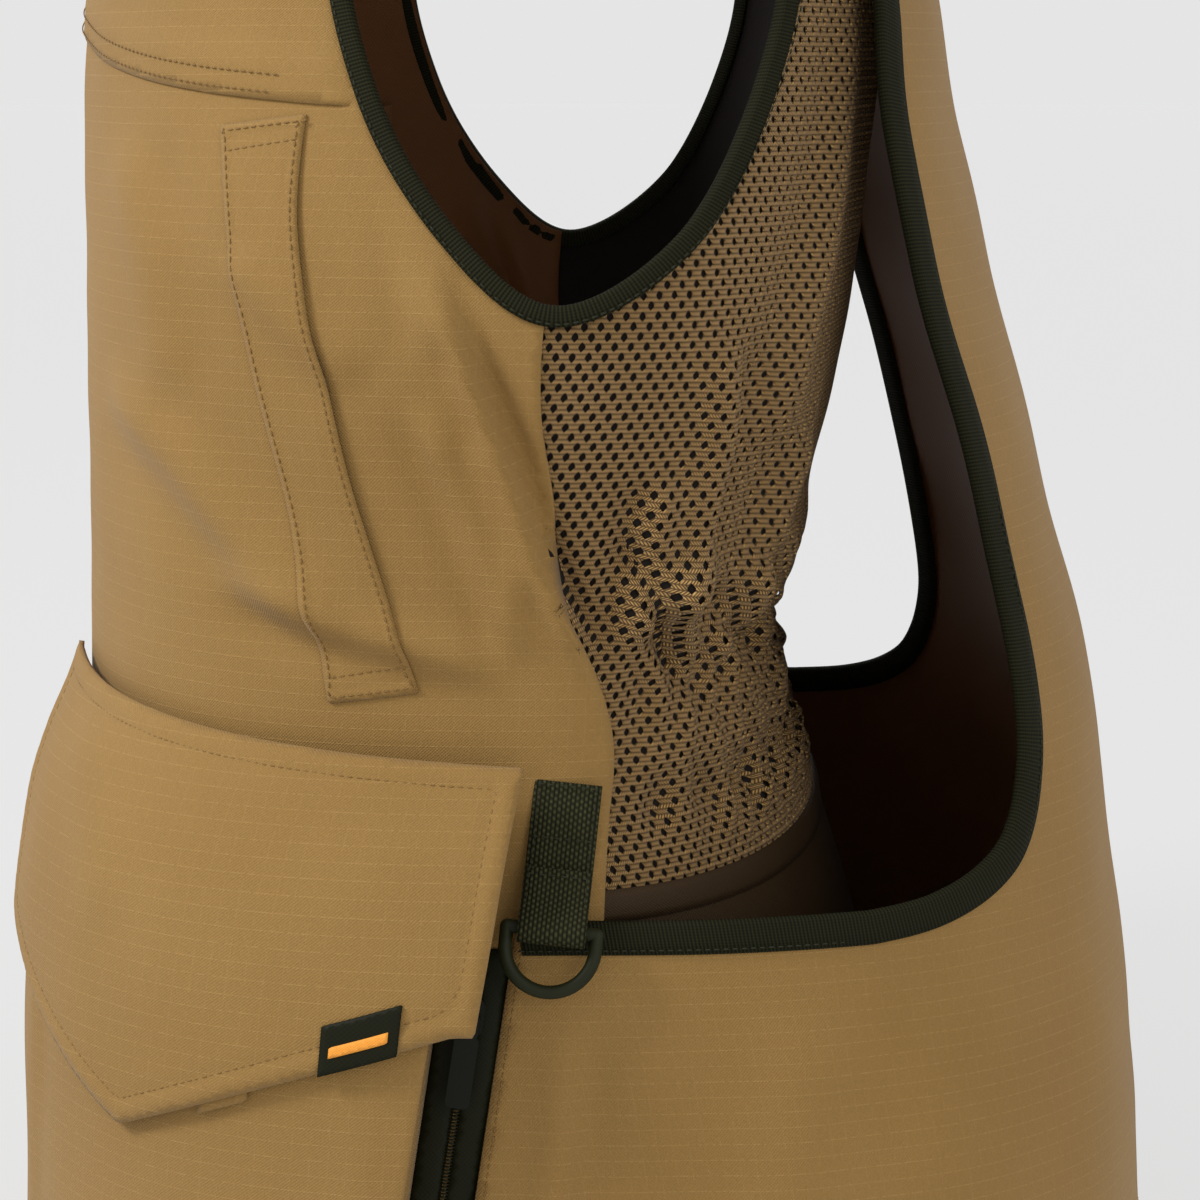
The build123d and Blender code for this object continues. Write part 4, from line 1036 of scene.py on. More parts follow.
declare(bag, "hung", ["back_yoke_cloth"], "bag_outer_panel", slot="ripstop_tan")
inner = panel("bag_lining_cloth", "bag", bag_cut, 0.2, 0.6, lining, 9.0, 1, bag_relief)
declare(inner, "hung", ["back_yoke_cloth"], "bag_lining", slot="lining_brown")
turns = np.linspace(math.radians(100), math.radians(260), 81)
outer = section("bag", turns, 2.0)
inner_edge = section("body", turns, 2.0)
floor_points = np.concatenate([inner_edge + (outer - inner_edge) * share
                               for share in (0.02, 0.35, 0.68, 0.99)])
floor_points[:, 2] = 1.6
count = len(turns)
floor_faces = [(r * count + i, r * count + i + 1, (r + 1) * count + i + 1, (r + 1) * count + i)
               for r in range(3) for i in range(count - 1)]
bag_floor = new_object("bag_floor_cloth", to_frame(floor_points), floor_faces, floor_points[:, :2] * MM,
                       lining)
thickness = bag_floor.modifiers.new("Thickness", "SOLIDIFY")
thickness.thickness, thickness.offset = 1.2 * MM, 0
declare(bag_floor, "hung", ["bag_outer_panel_cloth"], "bag_floor", slot="lining_brown")

# %% [markdown]
# ## Edge bindings
# A binding is grosgrain tape folded over a raw edge and stitched. It is modelled as a swept profile: a thin
# U that wraps both faces, a little wider inside than outside except on the bag's openings. At each place
# along the edge the profile is turned to the cloth by two directions, out of the surface and into the
# cloth. The ribs are in the material.

# %% The binding sweep


def edge_directions(kind, line, into_line, side=1, relief=None):
    """Places along an edge, the surface's outward direction and the direction into the cloth."""
    line, into_line = np.asarray(line, float), np.asarray(into_line, float)
    points, out = on_surface(kind, line[:, 0] * side, line[:, 1])
    deeper = on_surface(kind, into_line[:, 0] * side, into_line[:, 1])[0]
    if relief is not None:
        points = points + out * relief(points)[:, None]
        deeper = deeper + out * relief(deeper)[:, None]
    into = deeper - points
    into -= out * np.sum(into * out, axis=1, keepdims=True)
    return points, out, into / np.linalg.norm(into, axis=1, keepdims=True)


def swept(name, points, out, into, profile, closed, material):
    """A closed profile of (into the cloth, out of it) carried along an edge."""
    profile = np.asarray(profile, float)
    count, around = len(points), len(profile)
    body = points[:, None] + into[:, None] * profile[None, :, :1] + out[:, None] * profile[None, :, 1:]
    body = body.reshape(-1, 3)
    run = np.concatenate([[0], np.cumsum(np.linalg.norm(np.diff(points, axis=0), axis=1))])
    run = np.append(run, run[-1] + np.linalg.norm(points[0] - points[-1]))
    across = np.concatenate([[0], np.cumsum(np.linalg.norm(np.diff(profile, axis=0, append=profile[:1]),
                                                           axis=1))])
    faces, corners = [], []
    for i in range(count if closed else count - 1):
        j = (i + 1) % count
        for k in range(around):
            m = (k + 1) % around
            faces.append((i * around + k, j * around + k, j * around + m, i * around + m))
            corners += [(run[i], across[k]), (run[i + 1], across[k]), (run[i + 1], across[k + 1]),
                        (run[i], across[k + 1])]
    if not closed:
        faces += [tuple(range(around)), tuple(range((count - 1) * around, count * around))[::-1]]
        corners += [(0, 0)] * (2 * around)
    made = new_object(name, to_frame(body), faces, None, material)
    layer = made.data.uv_layers.new(name="Cloth")
    layer.data.foreach_set("uv", (np.array(corners, np.float32) * MM).ravel())
    face = made.data.polygons[0]
    centre = to_frame(points[0] + into[0] * 3)
    if (np.array(face.center) - centre) @ np.array(face.normal) < 0:
        made.data.flip_normals()
    print(f"{name}: {len(faces)} faces, {run[-1]:.0f} mm along")
    return made


def binding_profile(outer_width, inner_width, top, bottom, tape=0.8):
    """A folded tape's section, from the outer leg round the edge to the inner leg and back inside it."""
    middle = (top + bottom) / 2
    return [(outer_width, top - 0.15), (outer_width * 0.6, top + 0.2), (0.8, top + 0.15), (-0.5, top - 0.35),
            (-1.2, middle), (-0.5, bottom + 0.35), (0.8, bottom - 0.15), (inner_width * 0.6, bottom - 0.2),
            (inner_width, bottom + 0.15), (inner_width, bottom + tape), (1.2, bottom + tape),
            (0.2, middle), (1.2, top - tape), (outer_width, top - tape)]


hole = along_line(ARMHOLE, 2.6, closed=True)
hole_edge = to_round("front", "y", hole)
hole_into = to_round("front", "y", grown(hole, 9.0))
v_edge = [(0.0, NECK_POINT)] + neck_line(NECK_POINT + 4, TOP - 0.5, 60)
v_into = [(0.0, NECK_POINT - 14)] + [(w + 8.5, z - 5) for w, z in v_edge[1:]]
scoop_edge = scoop[1:]
scoop_into = [(w + 5 * (w > 66), z - 9) for w, z in scoop_edge]
for side, name in ((1, "left"), (-1, "right")):
    points, out, into = edge_directions("front", hole_edge, hole_into, side, body_relief)
    armhole = swept("armhole_binding_" + name + "_tape", points, out, into,
                    binding_profile(6.6, 7.0, 4.5, -1.6), True, grosgrain)
    attach(armhole, "armhole_binding_" + name, slot="grosgrain_green")
left_v = edge_directions("front", v_edge, v_into, 1, body_relief)
right_v = [a[1:][::-1].copy() for a in edge_directions("front", v_edge, v_into, -1, body_relief)]
left_scoop = edge_directions("back", scoop_edge, scoop_into, 1, body_relief)
right_scoop = [a[:-1][::-1].copy() for a in edge_directions("back", scoop_edge, scoop_into, -1, body_relief)]
points, out, into = (np.concatenate(parts) for parts in zip(left_v, left_scoop, right_scoop, right_v))
neck = swept("neck_binding_tape", points, out, into, binding_profile(8.0, 11.0, 4.2, -0.5), True, grosgrain)
attach(neck, "neck_binding", slot="grosgrain_green")

opening = along_line([tuple(p) for p in opening_line], 2.6)
way = np.gradient(opening, axis=0)
way /= np.linalg.norm(way, axis=1, keepdims=True)
opening_into = opening + 9 * np.stack([way[:, 1], -way[:, 0]], 1)
if opening_into[3, 1] > opening[3, 1]:
    opening_into = 2 * opening - opening_into
for side, name in ((1, "left"), (-1, "right")):
    points, out, into = edge_directions("bag", opening, opening_into, side, bag_relief)
    mouth = swept("opening_binding_" + name + "_tape", points, out, into,
                  binding_profile(11.6, 11.6, 3.0, -1.6), False, grosgrain)
    attach(mouth, "opening_binding_" + name, slot="grosgrain_green")

# %% [markdown]
# ## Slanted hand pockets
# The welt is a stiff double strip sewn down at its front edge and both ends. Its rear edge is the pocket's
# mouth, so it stands off the front a little and throws a soft shadow. The pocket bag hangs inside.

# %% Welts and pocket bags
WELT = [(-136, 466), (-104, 470), (-107, 436), (-98, 382), (-86, 330), (-66, 262), (-99, 257), (-122, 366),
        (-134, 430)]
welt_cut = to_round("front", "y", WELT)
rear_edge = np.array(to_round("front", "y", [(-104, 470), (-107, 436), (-98, 382), (-86, 330), (-66, 262)]))
welt_rear = curve_through(rear_edge, steps=8)
welt_front = curve_through(to_round("front", "y", [(-99, 257), (-122, 366), (-134, 430), (-136, 466)]),
                           steps=8)
welt_cut = [tuple(p) for p in welt_rear] + [tuple(p) for p in welt_front]


def welt_mouth(flat, away):
    """The welt's rear edge stands off the cloth, most in the middle."""
    signed, share = line_distance(flat[:, 0], flat[:, 1], welt_rear)
    lift = 1.6 * np.sin(math.pi * np.clip(share, 0, 1)) * np.exp(-((signed / 11) ** 2))
    return lift - 0.4 * np.exp(-(((away - 4.5) / 1.3) ** 2)) + 0.25 * np.exp(-(((away - 2.2) / 1.4) ** 2))


POCKET_BAG = [(-104, 468), (-66, 250), (-150, 262), (-186, 330), (-170, 440), (-136, 464)]
for side, name in ((1, "left"), (-1, "right")):
    welt = panel("hand_pocket_welt_" + name + "_cloth", "front", welt_cut, 4.6, 1.2, tan, 1.9, side,
                 body_relief, extra=welt_mouth)
    declare(welt, "laid", ["front_panel_" + name + "_cloth"], "hand_pocket_welt_" + name, slot="ripstop_tan")
    bag_in = panel("hand_pocket_bag_" + name + "_cloth", "front", to_round("front", "y", POCKET_BAG), -2.0,
                   0.5, lining, 5.5, side, body_relief)
    declare(bag_in, "hung", ["front_lining_" + name + "_cloth"], "hand_pocket_bag_" + name,
            slot="lining_brown")

# %% [markdown]
# ## Bellows pockets
# A bellows pocket is a patch with a folded gusset round three sides, so it can swell. It is built as a grid:
# the first and last columns and the lowest rows are the gusset, folded in a little at its middle, and the
# rest is the patch. One level of subdivision rounds the folds.

# %% Pocket bodies
POCKET_LOW, POCKET_TOP, POCKET_DROP = 14.0, 216.0, (56.0, 100.0, 21.0)
CHORD_HALF = CHORD_LENGTH / 2
POCKET_FRONT = -CHORD_HALF + 12.0
GUSSET = np.array([(0.0, 0.0), (0.22, 3.6), (0.5, 5.4), (0.78, 3.2), (0.95, 0.4)])


def pocket_swell(z):
    """How far the full pocket stands off the body."""
    return smooth(POCKET, 1, np.clip(z, 0, 270))


def pocket_piece(name, side):
    """The pocket's patch and gusset as one grid."""
    share = np.linspace(0, 1, 27)
    columns = [(0.0, r, tuck) for r, tuck in GUSSET] + [(s, 1.0, 0.0) for s in share[1:-1]]
    columns = columns[:5] + [(0.0, 1.0, -0.6)] + columns[5:] + [(1.0, 1.0, -0.6)] + [
        (1.0, r, tuck) for r, tuck in GUSSET[::-1]]
    lows = [(POCKET_LOW, r, tuck) for r, tuck in GUSSET] + [(POCKET_LOW, 1.0, -0.6)]
    rows = lows + [(z, 1.0, 0.0) for z in np.linspace(POCKET_LOW + 9, POCKET_TOP, 25)]
    w, z, offset, uv = [], [], [], []
    for base_z, low_rise, low_tuck in rows:
        lowered = base_z
        swell = float(pocket_swell(lowered)[0])
        front_w = round_at("front", "t", POCKET_FRONT, lowered, swell * 0.7)
        rear_w = round_at("front", "y", zip_y(lowered, -TAPE_HALF - 2.0), lowered, swell * 0.7)
        for s, rise, tuck in columns:
            at_w = front_w + (rear_w - front_w) * s
            tucked = at_w + (tuck if s == 0 else -tuck if s == 1 else 0)
            along = (s - 0.5) * CHORD_LENGTH
            top_drop = POCKET_DROP[2] * step(along, POCKET_DROP[0], POCKET_DROP[1] - 8)
            at_z = lowered - top_drop * (lowered - POCKET_LOW) / (POCKET_TOP - POCKET_LOW) + low_tuck
            lift = 3.2 + (swell - 3.4) * min(rise, low_rise)
            w.append(tucked)
            z.append(at_z)
            offset.append(lift)
            uv.append((at_w + (rise - 1) * swell * (1 if s < 0.5 else -1), at_z + (low_rise - 1) * swell))
    w, z, offset = np.array(w), np.array(z), np.array(offset)
    plain = on_surface("front", w * side, z)[0]
    full = step(offset, 8, 24)
    offset = offset + full * (1.1 * ripple(plain, 90, 31) - 0.4)
    across = (w - w.min()) / np.ptp(w)
    offset += full * fold(across * 200, z, [(30, 16), (38, 90), (44, 150)], 8, 2.6, 0.7)
    offset += full * fold(across * 200, z, [(182, 14), (180, 80), (178, 140)], 5, 1.8, 0.0)
    points = place("front", w, z, offset, None, side)
    count = len(columns)
    faces = [(r * count + c, r * count + c + 1, (r + 1) * count + c + 1, (r + 1) * count + c)
             for r in range(len(rows) - 1) for c in range(count - 1)]
    if side < 0:
        faces = [f[::-1] for f in faces]
    made = new_object(name, points, faces, np.array(uv) * (side, 1) * MM, tan)
    finer = made.modifiers.new("Round folds", "SUBSURF")
    finer.levels = finer.render_levels = 1
    thickness = made.modifiers.new("Thickness", "SOLIDIFY")
    thickness.thickness, thickness.offset = 1.1 * MM, -1
    print(f"{name}: {len(faces)} faces")
    return made


for side, name in ((1, "left"), (-1, "right")):
    pocket = pocket_piece("cargo_pocket_" + name + "_cloth", side)
    declare(pocket, "hung", ["front_panel_" + name + "_cloth"], "cargo_pocket_" + name, slot="ripstop_tan")

# %% [markdown]
# ## Pocket flaps
# The flap is two layers turned and topstitched, so its edge is a soft roll with a sunk stitch line inside
# it.

# %% Flaps, name tab and pull tabs
FLAP_TOP, FLAP_ENDS, FLAP_POINT = (256.0, 236.0), (150.0, 143.0), 97.0
FLAP_REAR = ((-27.5, 236.0), (-45.0, 143.0))
FLAP_FACE = 4.2
HINGE_OUT, HINGE_HEIGHT, BEND_LENGTH = 42.0, 247.0, 9.0
PULL_TAB = (36, 55)


def flap_low(t):
    """Height of the flap's pointed lower edge along the chord."""
    end = np.where(np.asarray(t) < 0, FLAP_ENDS[0], FLAP_ENDS[1])
    return FLAP_POINT + (end - FLAP_POINT) * np.abs(t) / CHORD_HALF


def flap_top(t):
    """Height of the flap's top edge along the chord."""
    return np.interp(t, (-CHORD_HALF, CHORD_HALF), FLAP_TOP)


rear_heights = np.linspace(FLAP_REAR[0][1], FLAP_REAR[1][1], 12)
rear_depths = np.interp(rear_heights, (FLAP_REAR[1][1], FLAP_REAR[0][1]), (FLAP_REAR[1][0], FLAP_REAR[0][0]))
flap_rear = to_round("front", "y", list(zip(rear_depths, rear_heights)), 1)
chord_points = np.linspace(-CHORD_HALF, CHORD_HALF, 60)
top_edge = to_round("front", "t", [(t, float(flap_top(t))) for t in chord_points], 1)
low_edge = to_round("front", "t", [(t, float(flap_low(t))) for t in chord_points], 1)
top_edge = [p for p in top_edge if p[0] < flap_rear[0][0] - 2]
low_edge = [p for p in low_edge if p[0] < flap_rear[-1][0] - 2]
flap_cut = top_edge + flap_rear + low_edge[::-1]
flap_top_line = np.array(top_edge + [flap_rear[0]])
print("flap rear edge, round:", round(flap_rear[0][0]), "to", round(flap_rear[-1][0]))


def flap_lift(flat, away):
    """The flap follows the swollen pocket, and is sewn down close to the front along its top."""
    swell = pocket_swell(flat[:, 1])
    from_top = np.abs(line_distance(flat[:, 0], flat[:, 1], flap_top_line)[0])
    points = on_surface("front", flat[:, 0], flat[:, 1])[0]
    free = step(from_top, 4, 26)
    lift = swell * 1.0 + free * (0.9 * ripple(points, 110, 41) + 0.35 * ripple(points, 35, 42))
    lift += free * fold(flat[:, 0], flat[:, 1], [(150, 240), (185, 205), (205, 160)], 16, 1.6, 0.4)
    edge = 0.5 * np.exp(-(((away - 4.5) / 2.2) ** 2)) - 0.55 * np.exp(-(((away - 9) / 1.5) ** 2))
    return lift + edge * step(from_top, 2, 6)


def on_flap(flat, away):
    """What is sewn on the flap follows it, but not its stitched edge."""
    return flap_lift(flat, np.full(len(flat), 30.0))


def hinge_blend(piece, side):
    """Gives a flap piece blend weights from the root to its flap, across the seam above the pocket."""
    name = "left" if side > 0 else "right"
    outward = np.array([CHORD_WAY[1], -CHORD_WAY[0]])
    top = np.array([*(CHORD_MIDDLE + outward * HINGE_OUT), HINGE_HEIGHT]) * (side, 1, 1)
    start, end = to_frame(top), to_frame(top - (0, 0, BEND_LENGTH))
    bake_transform(piece, "root", "flap_" + name, start=tuple(start), end=tuple(end))


for side, name in ((1, "left"), (-1, "right")):
    flap = panel("cargo_flap_" + name + "_cloth", "front", flap_cut, FLAP_FACE, 2.2, tan, 2.6, side, None,
                 roll=0.9, extra=flap_lift)
    hinge_blend(flap, side)
    declare(flap, "hung", ["front_panel_" + name + "_cloth"], "cargo_flap_" + name, slot="ripstop_tan")
    pull_low = [(t, float(flap_low(t)) - 3.5) for t in PULL_TAB]
    pull_high = [(t, float(flap_low(t)) + 12) for t in PULL_TAB[::-1]]
    pull_cut = to_round("front", "t", pull_low + pull_high, 1)
    pull = panel("flap_pull_tab_" + name + "_cloth", "front", pull_cut, 1.4, 0.8, tan, 2.0, side, None,
                 roll=0.3, extra=on_flap)
    attach(pull, "flap_pull_tab_" + name, body="flap_" + name, slot="ripstop_tan")
tag_start, tag_width, tag_high = 80.0, 23.0, 17.5
tag_ends = (tag_start, tag_start + tag_width)
tag_low = [(t, float(flap_low(t)) - 0.8) for t in tag_ends]
tag_top = [(t, float(flap_low(t)) + tag_high) for t in tag_ends[::-1]]
tag_cut = to_round("front", "t", tag_low + tag_top, 1)
tag = panel("name_tab_tape", "front", tag_cut, FLAP_FACE + 1.3, 0.9, zip_tape, 1.5, 1, None, roll=0.3,
            extra=on_flap)
attach(tag, "name_tab", body="flap_left", slot="zip_tape_green")
orange = plain_material("Orange thread", colour(247, 167, 65), colour(214, 134, 44), 0.6, 0.0005)
bar_ends = (tag_start + 3, tag_start + 20)
bar_low = [(t, float(flap_low(t)) + 5.0) for t in bar_ends]
bar_top = [(t, float(flap_low(t)) + 9.0) for t in bar_ends[::-1]]
bar_cut = to_round("front", "t", bar_low + bar_top, 1)
bar = panel("name_tab_bar", "front", bar_cut, FLAP_FACE + 1.75, 0.5, orange, 1.2, 1, None, roll=0.1,
            extra=on_flap)
attach(bar, body="flap_left")

# %% [markdown]
# ## Webbing straps
# Each strap is heavy webbing sewn under the bag's top edge, passed round the D-ring's bar and doubled back
# on itself. It is a ribbon with real thickness swept along that path: down, round the bar, and up again.

# %% Webbing straps
STRAP_TOP, STRAP_LOOP = (-11.5, 230.0), (-17.5, 178.0)
RING_WIRE = 2.5
strap_rows = []
for side, name in ((1, "left"), (-1, "right")):
    ring_low, ring_high = (np.array(c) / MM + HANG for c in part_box("d_ring_" + name))
    bar_x = (ring_high[0] + ring_low[0]) / 2
    top_half = round_at("front", "y", STRAP_TOP[0], STRAP_TOP[1])
    top_x = on_surface("front", np.array([top_half * side]), np.array([STRAP_TOP[1]]))[0][0, 0] + side * 5.6
    loop_x = bar_x
    bar_z, top_z, bar_y, top_y = STRAP_LOOP[1], STRAP_TOP[1], STRAP_LOOP[0], STRAP_TOP[0]
    down = np.array([loop_x - top_x - side * 1.9, bar_y - top_y, bar_z - top_z])
    down /= np.linalg.norm(down)
    across = np.array([0.0, 1.0, 0.0]) - down * down[1]
    across /= np.linalg.norm(across)
    out = np.cross(across, down) * side
    out *= np.sign(out[0]) * side
    centre = np.array([loop_x, bar_y, bar_z])
    inner_radius = RING_WIRE + 0.4
    path = []
    length = (top_z - bar_z) / abs(down[2])
    for share in np.linspace(1, 0.06, 20):
        path.append(centre - down * length * share - out * (inner_radius + 1.0))
    for angle in np.linspace(-90, 90, 13):
        a = math.radians(angle)
        path.append(centre + (out * math.sin(a) + down * math.cos(a)) * (inner_radius + 1.0))
    for share in np.linspace(0.06, 0.42, 9):
        settle = step(np.array(share), 0.0, 0.25)
        away = (inner_radius + 1.0) * (1 - settle) - 1.2 * settle
        path.append(centre - down * length * share + out * away)
    path = along_line(np.array(path), 1.3)
    ahead = np.gradient(path, axis=0)
    ahead /= np.linalg.norm(ahead, axis=1, keepdims=True)
    face_out = np.cross(np.broadcast_to(across, ahead.shape), ahead)
    profile = [(-12.5, -0.5), (-12.2, -0.95), (-6, -1.0), (0, -1.0), (6, -1.0), (12.2, -0.95), (12.5, -0.5),
               (12.5, 0.5), (12.2, 0.95), (6, 1.0), (0, 1.0), (-6, 1.0), (-12.2, 0.95), (-12.5, 0.5)]
    for sideways in (-10.6, 10.6):
        row = centre - np.linspace(0.97, 0.1, 40)[:, None] * down * length + across * sideways
        row = row + out * np.where(np.linspace(0.97, 0.1, 40) > 0.43, -1.75, 0.95)[:, None]
        strap_rows.append((to_frame(row), np.tile(out, (40, 1))))
    for share, rise in ((0.97, -1.75), (0.62, -1.75), (0.37, 0.95)):
        row = centre - down * length * share + across * np.linspace(-10, 10, 9)[:, None] + out * rise
        strap_rows.append((to_frame(row), np.tile(out, (9, 1))))
    strap = swept("webbing_strap_" + name + "_web", path, face_out, np.broadcast_to(across, ahead.shape),
                  [(a, b) for a, b in profile], False, webbing)
    layer = strap.data.uv_layers["Cloth"]
    uv = np.zeros(len(strap.data.loops) * 2, np.float32)
    layer.data.foreach_get("uv", uv)
    layer.data.foreach_set("uv", uv.reshape(-1, 2)[:, ::-1].ravel())
    attach(strap, "webbing_strap_" + name, slot="grosgrain_green")
    print(strap.name, "bar x", round(float(bar_x), 1), "top x", round(float(top_x), 1))

# %% [markdown]
# ## Zips
# The front zip has moulded teeth, the side zips a hidden coil under smooth, coated tape. Teeth and coils
# repeat hundreds of times along a line, so they are instances that one node tree sets along a curve.

# %% Node tree for what repeats along a line
row_tree, r_in, r_out = group("Set along a line", "GeometryNodeTree",
                              [("Geometry", "NodeSocketGeometry", None), ("Pitch", "NodeSocketFloat", 0.003),
                               ("Length", "NodeSocketFloat", 0.0026), ("Width", "NodeSocketFloat", 0.0008),
                               ("Height", "NodeSocketFloat", 0.0006),
                               ("Finish", "NodeSocketMaterial", None)],
                              [("Geometry", "NodeSocketGeometry")])
as_curve = add(row_tree, "GeometryNodeMeshToCurve", {"Mesh": r_in["Geometry"]})
spaced = add(row_tree, "GeometryNodeResampleCurve", {"Curve": as_curve.outputs[0], "Length": r_in["Pitch"]},
             mode="LENGTH")
bead = add(row_tree, "GeometryNodeMeshUVSphere", {"Segments": 6, "Rings": 4, "Radius": 0.5})
sizes = add(row_tree, "ShaderNodeCombineXYZ",
            {0: r_in["Length"], 1: r_in["Width"], 2: r_in["Height"]}).outputs[0]
bead = add(row_tree, "GeometryNodeTransform", {"Geometry": bead.outputs[0], "Scale": sizes})
facing = add(row_tree, "GeometryNodeInputNamedAttribute", {"Name": "out"},
             data_type="FLOAT_VECTOR").outputs[0]
tangent = add(row_tree, "GeometryNodeInputTangent").outputs[0]
turned = add(row_tree, "FunctionNodeAlignEulerToVector", {"Vector": tangent}, axis="X")
turned = add(row_tree, "FunctionNodeAlignEulerToVector", {"Rotation": turned.outputs[0], "Vector": facing},
             axis="Z", pivot_axis="X")
beads = add(row_tree, "GeometryNodeInstanceOnPoints",
            {"Points": spaced.outputs[0], "Instance": bead.outputs[0],
                                                       "Rotation": turned.outputs[0]})
real = add(row_tree, "GeometryNodeRealizeInstances", {"Geometry": beads.outputs[0]})
dressed = add(row_tree, "GeometryNodeSetMaterial", {"Geometry": real.outputs[0], "Material": r_in["Finish"]})
shaded = add(row_tree, "GeometryNodeSetShadeSmooth", {"Geometry": dressed.outputs[0]})
row_tree.links.new(shaded.outputs[0], r_out["Geometry"])


def set_along(name, lines, pitch, length, width, height, finish):
    """Beads of one size along lines of (points in the frame, outward directions)."""
    points, edges, outs = [], [], []
    for line, out in lines:
        start = len(points)
        points += [tuple(p) for p in line]
        outs += [tuple(o) for o in out]
        edges += [(start + i, start + i + 1) for i in range(len(line) - 1)]
    mesh = bpy.data.meshes.new(name)
    mesh.from_pydata(points, edges, [])
    attribute = mesh.attributes.new("out", "FLOAT_VECTOR", "POINT")
    attribute.data.foreach_set("vector", np.array(outs, np.float32).ravel())
    source = bpy.data.objects.new("line_for_" + name, mesh)
    bpy.context.scene.collection.objects.link(source)
    made = bpy.data.objects.new(name, through_nodes(source, row_tree, {
        "Pitch": pitch * MM, "Length": length * MM, "Width": width * MM, "Height": height * MM,
        "Finish": finish}))
    bpy.context.scene.collection.objects.link(made)
    layer = made.data.uv_layers.new(name="Cloth")
    corner_points = np.array([made.data.vertices[v.vertex_index].co for v in made.data.loops])
    layer.data.foreach_set("uv", corner_points[:, [1, 2]].astype(np.float32).ravel())
    print(f"{name}: {len(made.data.polygons)} faces")
    return made


def sewn_line(kind, line, offset, relief=None, side=1, spacing=2.5):
    """Points just above the cloth along a drawn line, with their outward directions."""
    line = along_line(np.asarray(line, float), spacing)
    points, out = on_surface(kind, line[:, 0] * side, line[:, 1])
    lift = offset(line) if callable(offset) else offset
    lift = lift + (relief(points) if relief is not None else 0.0)
    return to_frame(points + out * np.broadcast_to(lift, len(points))[:, None]), out


# %% Side zips: coated tape and hidden coil
coil_half = 0.9
for side, name in ((1, "left"), (-1, "right")):
    heights = np.linspace(ZIP_BOTTOM[1], ZIP_TOP[1], 24)
    strips = []
    for part, low_side, high_side in (("front", -TAPE_HALF, -coil_half),
                                      ("rear", coil_half, TAPE_HALF - 0.2)):
        edge_a = to_round("front", "y", list(zip(zip_y(heights, low_side), heights)))
        edge_b = to_round("front", "y", list(zip(zip_y(heights, high_side), heights)))
        strips.append(panel(f"side_zip_tape_{name}_{part}", "front", edge_a + edge_b[::-1], 4.1, 0.7,
                            zip_tape, 3.0, side, None, roll=0.5))
    attach(strips[0], "side_zip_tapes_" + name, slot="zip_tape_green")
    attach(strips[1], slot="zip_tape_green")
    middle_line = to_round("front", "y", list(zip(zip_y(heights), heights)))
    coil = set_along(f"side_zip_coil_{name}_loops", [sewn_line("front", middle_line, 3.9, None, side)], 1.3,
                     0.9, 4.0, 1.4, tooth_plastic)
    attach(coil, "side_zip_coil_" + name, slot="zip_plastic")

# %% Front zip: tape and moulded teeth
ZIP_SPAN = np.linspace(14, 441, 40)
for side, name in ((1, "left"), (-1, "right")):
    tape_cut = [(2.0, z) for z in ZIP_SPAN] + [(9.5, z) for z in ZIP_SPAN[::-1]]
    tape = panel(f"front_zip_tape_{name}_web", "front", tape_cut, 1.7, 0.7, zip_tape, 3.0, side, None,
                 roll=0.2)
    attach(tape, "front_zip_tape_" + name, slot="zip_tape_green")
    teeth_line = [(1.45, z + (1.2 if side < 0 else 0)) for z in (16.0, 200.0, 438.0)]
    teeth = set_along(f"front_zip_teeth_{name}_row", [sewn_line("front", teeth_line, 1.5, None, side)], 2.4,
                      1.7, 3.0, 2.4, tooth_plastic)
    attach(teeth, "front_zip_teeth_" + name, slot="zip_plastic")

# %% [markdown]
# ## Hanger loop
# A short length of grosgrain, folded to a loop and sewn inside the back neck. The swept profile is a flat
# tape, and its path is the half circle and two legs of the frame's loop.

# %% Hanger loop tape
loop_low, loop_high = (np.array(c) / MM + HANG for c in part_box("hanger_loop"))
loop_width = (loop_high[0] - loop_low[0]) / 2
back_at = [on_surface("back", np.array([0.0]), np.array([z]))[0][0] for z in (632.0, 642.0)]
rise = (back_at[1] - back_at[0]) / np.linalg.norm(back_at[1] - back_at[0])
inward = np.cross(rise, (1.0, 0.0, 0.0))
inward *= np.sign(inward @ (np.array([0, 0, 640.0]) - back_at[1]))
loop_centre = HANG - rise * 22.0
radius = loop_width - 1.0
turn_steps = np.linspace(0, math.pi, 26)
arc = [loop_centre + np.array([1.0, 0, 0]) * radius * math.cos(a) + rise * radius * math.sin(a)
       for a in turn_steps]
legs = [loop_centre + np.array([radius, 0, 0]) - rise * d for d in (11.0, 7.0, 3.5)]
other = [loop_centre - np.array([radius, 0, 0]) - rise * d for d in (3.5, 7.0, 11.0)]
path = along_line(np.array(legs + arc + other), 1.6)
ahead = np.gradient(path, axis=0)
ahead /= np.linalg.norm(ahead, axis=1, keepdims=True)
flat_side = np.broadcast_to(inward, ahead.shape)
loop_out = np.cross(flat_side, ahead)
loop_profile = [(-3.9, -0.5), (0, -0.75), (3.9, -0.5), (4.0, 0), (3.9, 0.5), (0, 0.75), (-3.9, 0.5),
                (-4.0, 0)]
hanger = swept("hanger_loop_tape", path, loop_out, flat_side, loop_profile, False, grosgrain)
attach(hanger, "hanger_loop", slot="grosgrain_green")

# %% [markdown]
# ## Stitches
# Every seam of a vest shows its thread. A stitch is a low bead, and the same node tree that sets the zip
# teeth sets one every 3.4 mm along each sewn line. The lines are drawn from the outlines of the pieces.

# %% Sewn lines on the body
STITCH_PITCH, STITCH_LONG, STITCH_WIDE, STITCH_HIGH = 3.4, 2.6, 0.75, 0.6


def stitches(name, lines, thread):
    """One piece of stitches along many lines."""
    return set_along(name, lines, STITCH_PITCH, STITCH_LONG, STITCH_WIDE, STITCH_HIGH, thread)


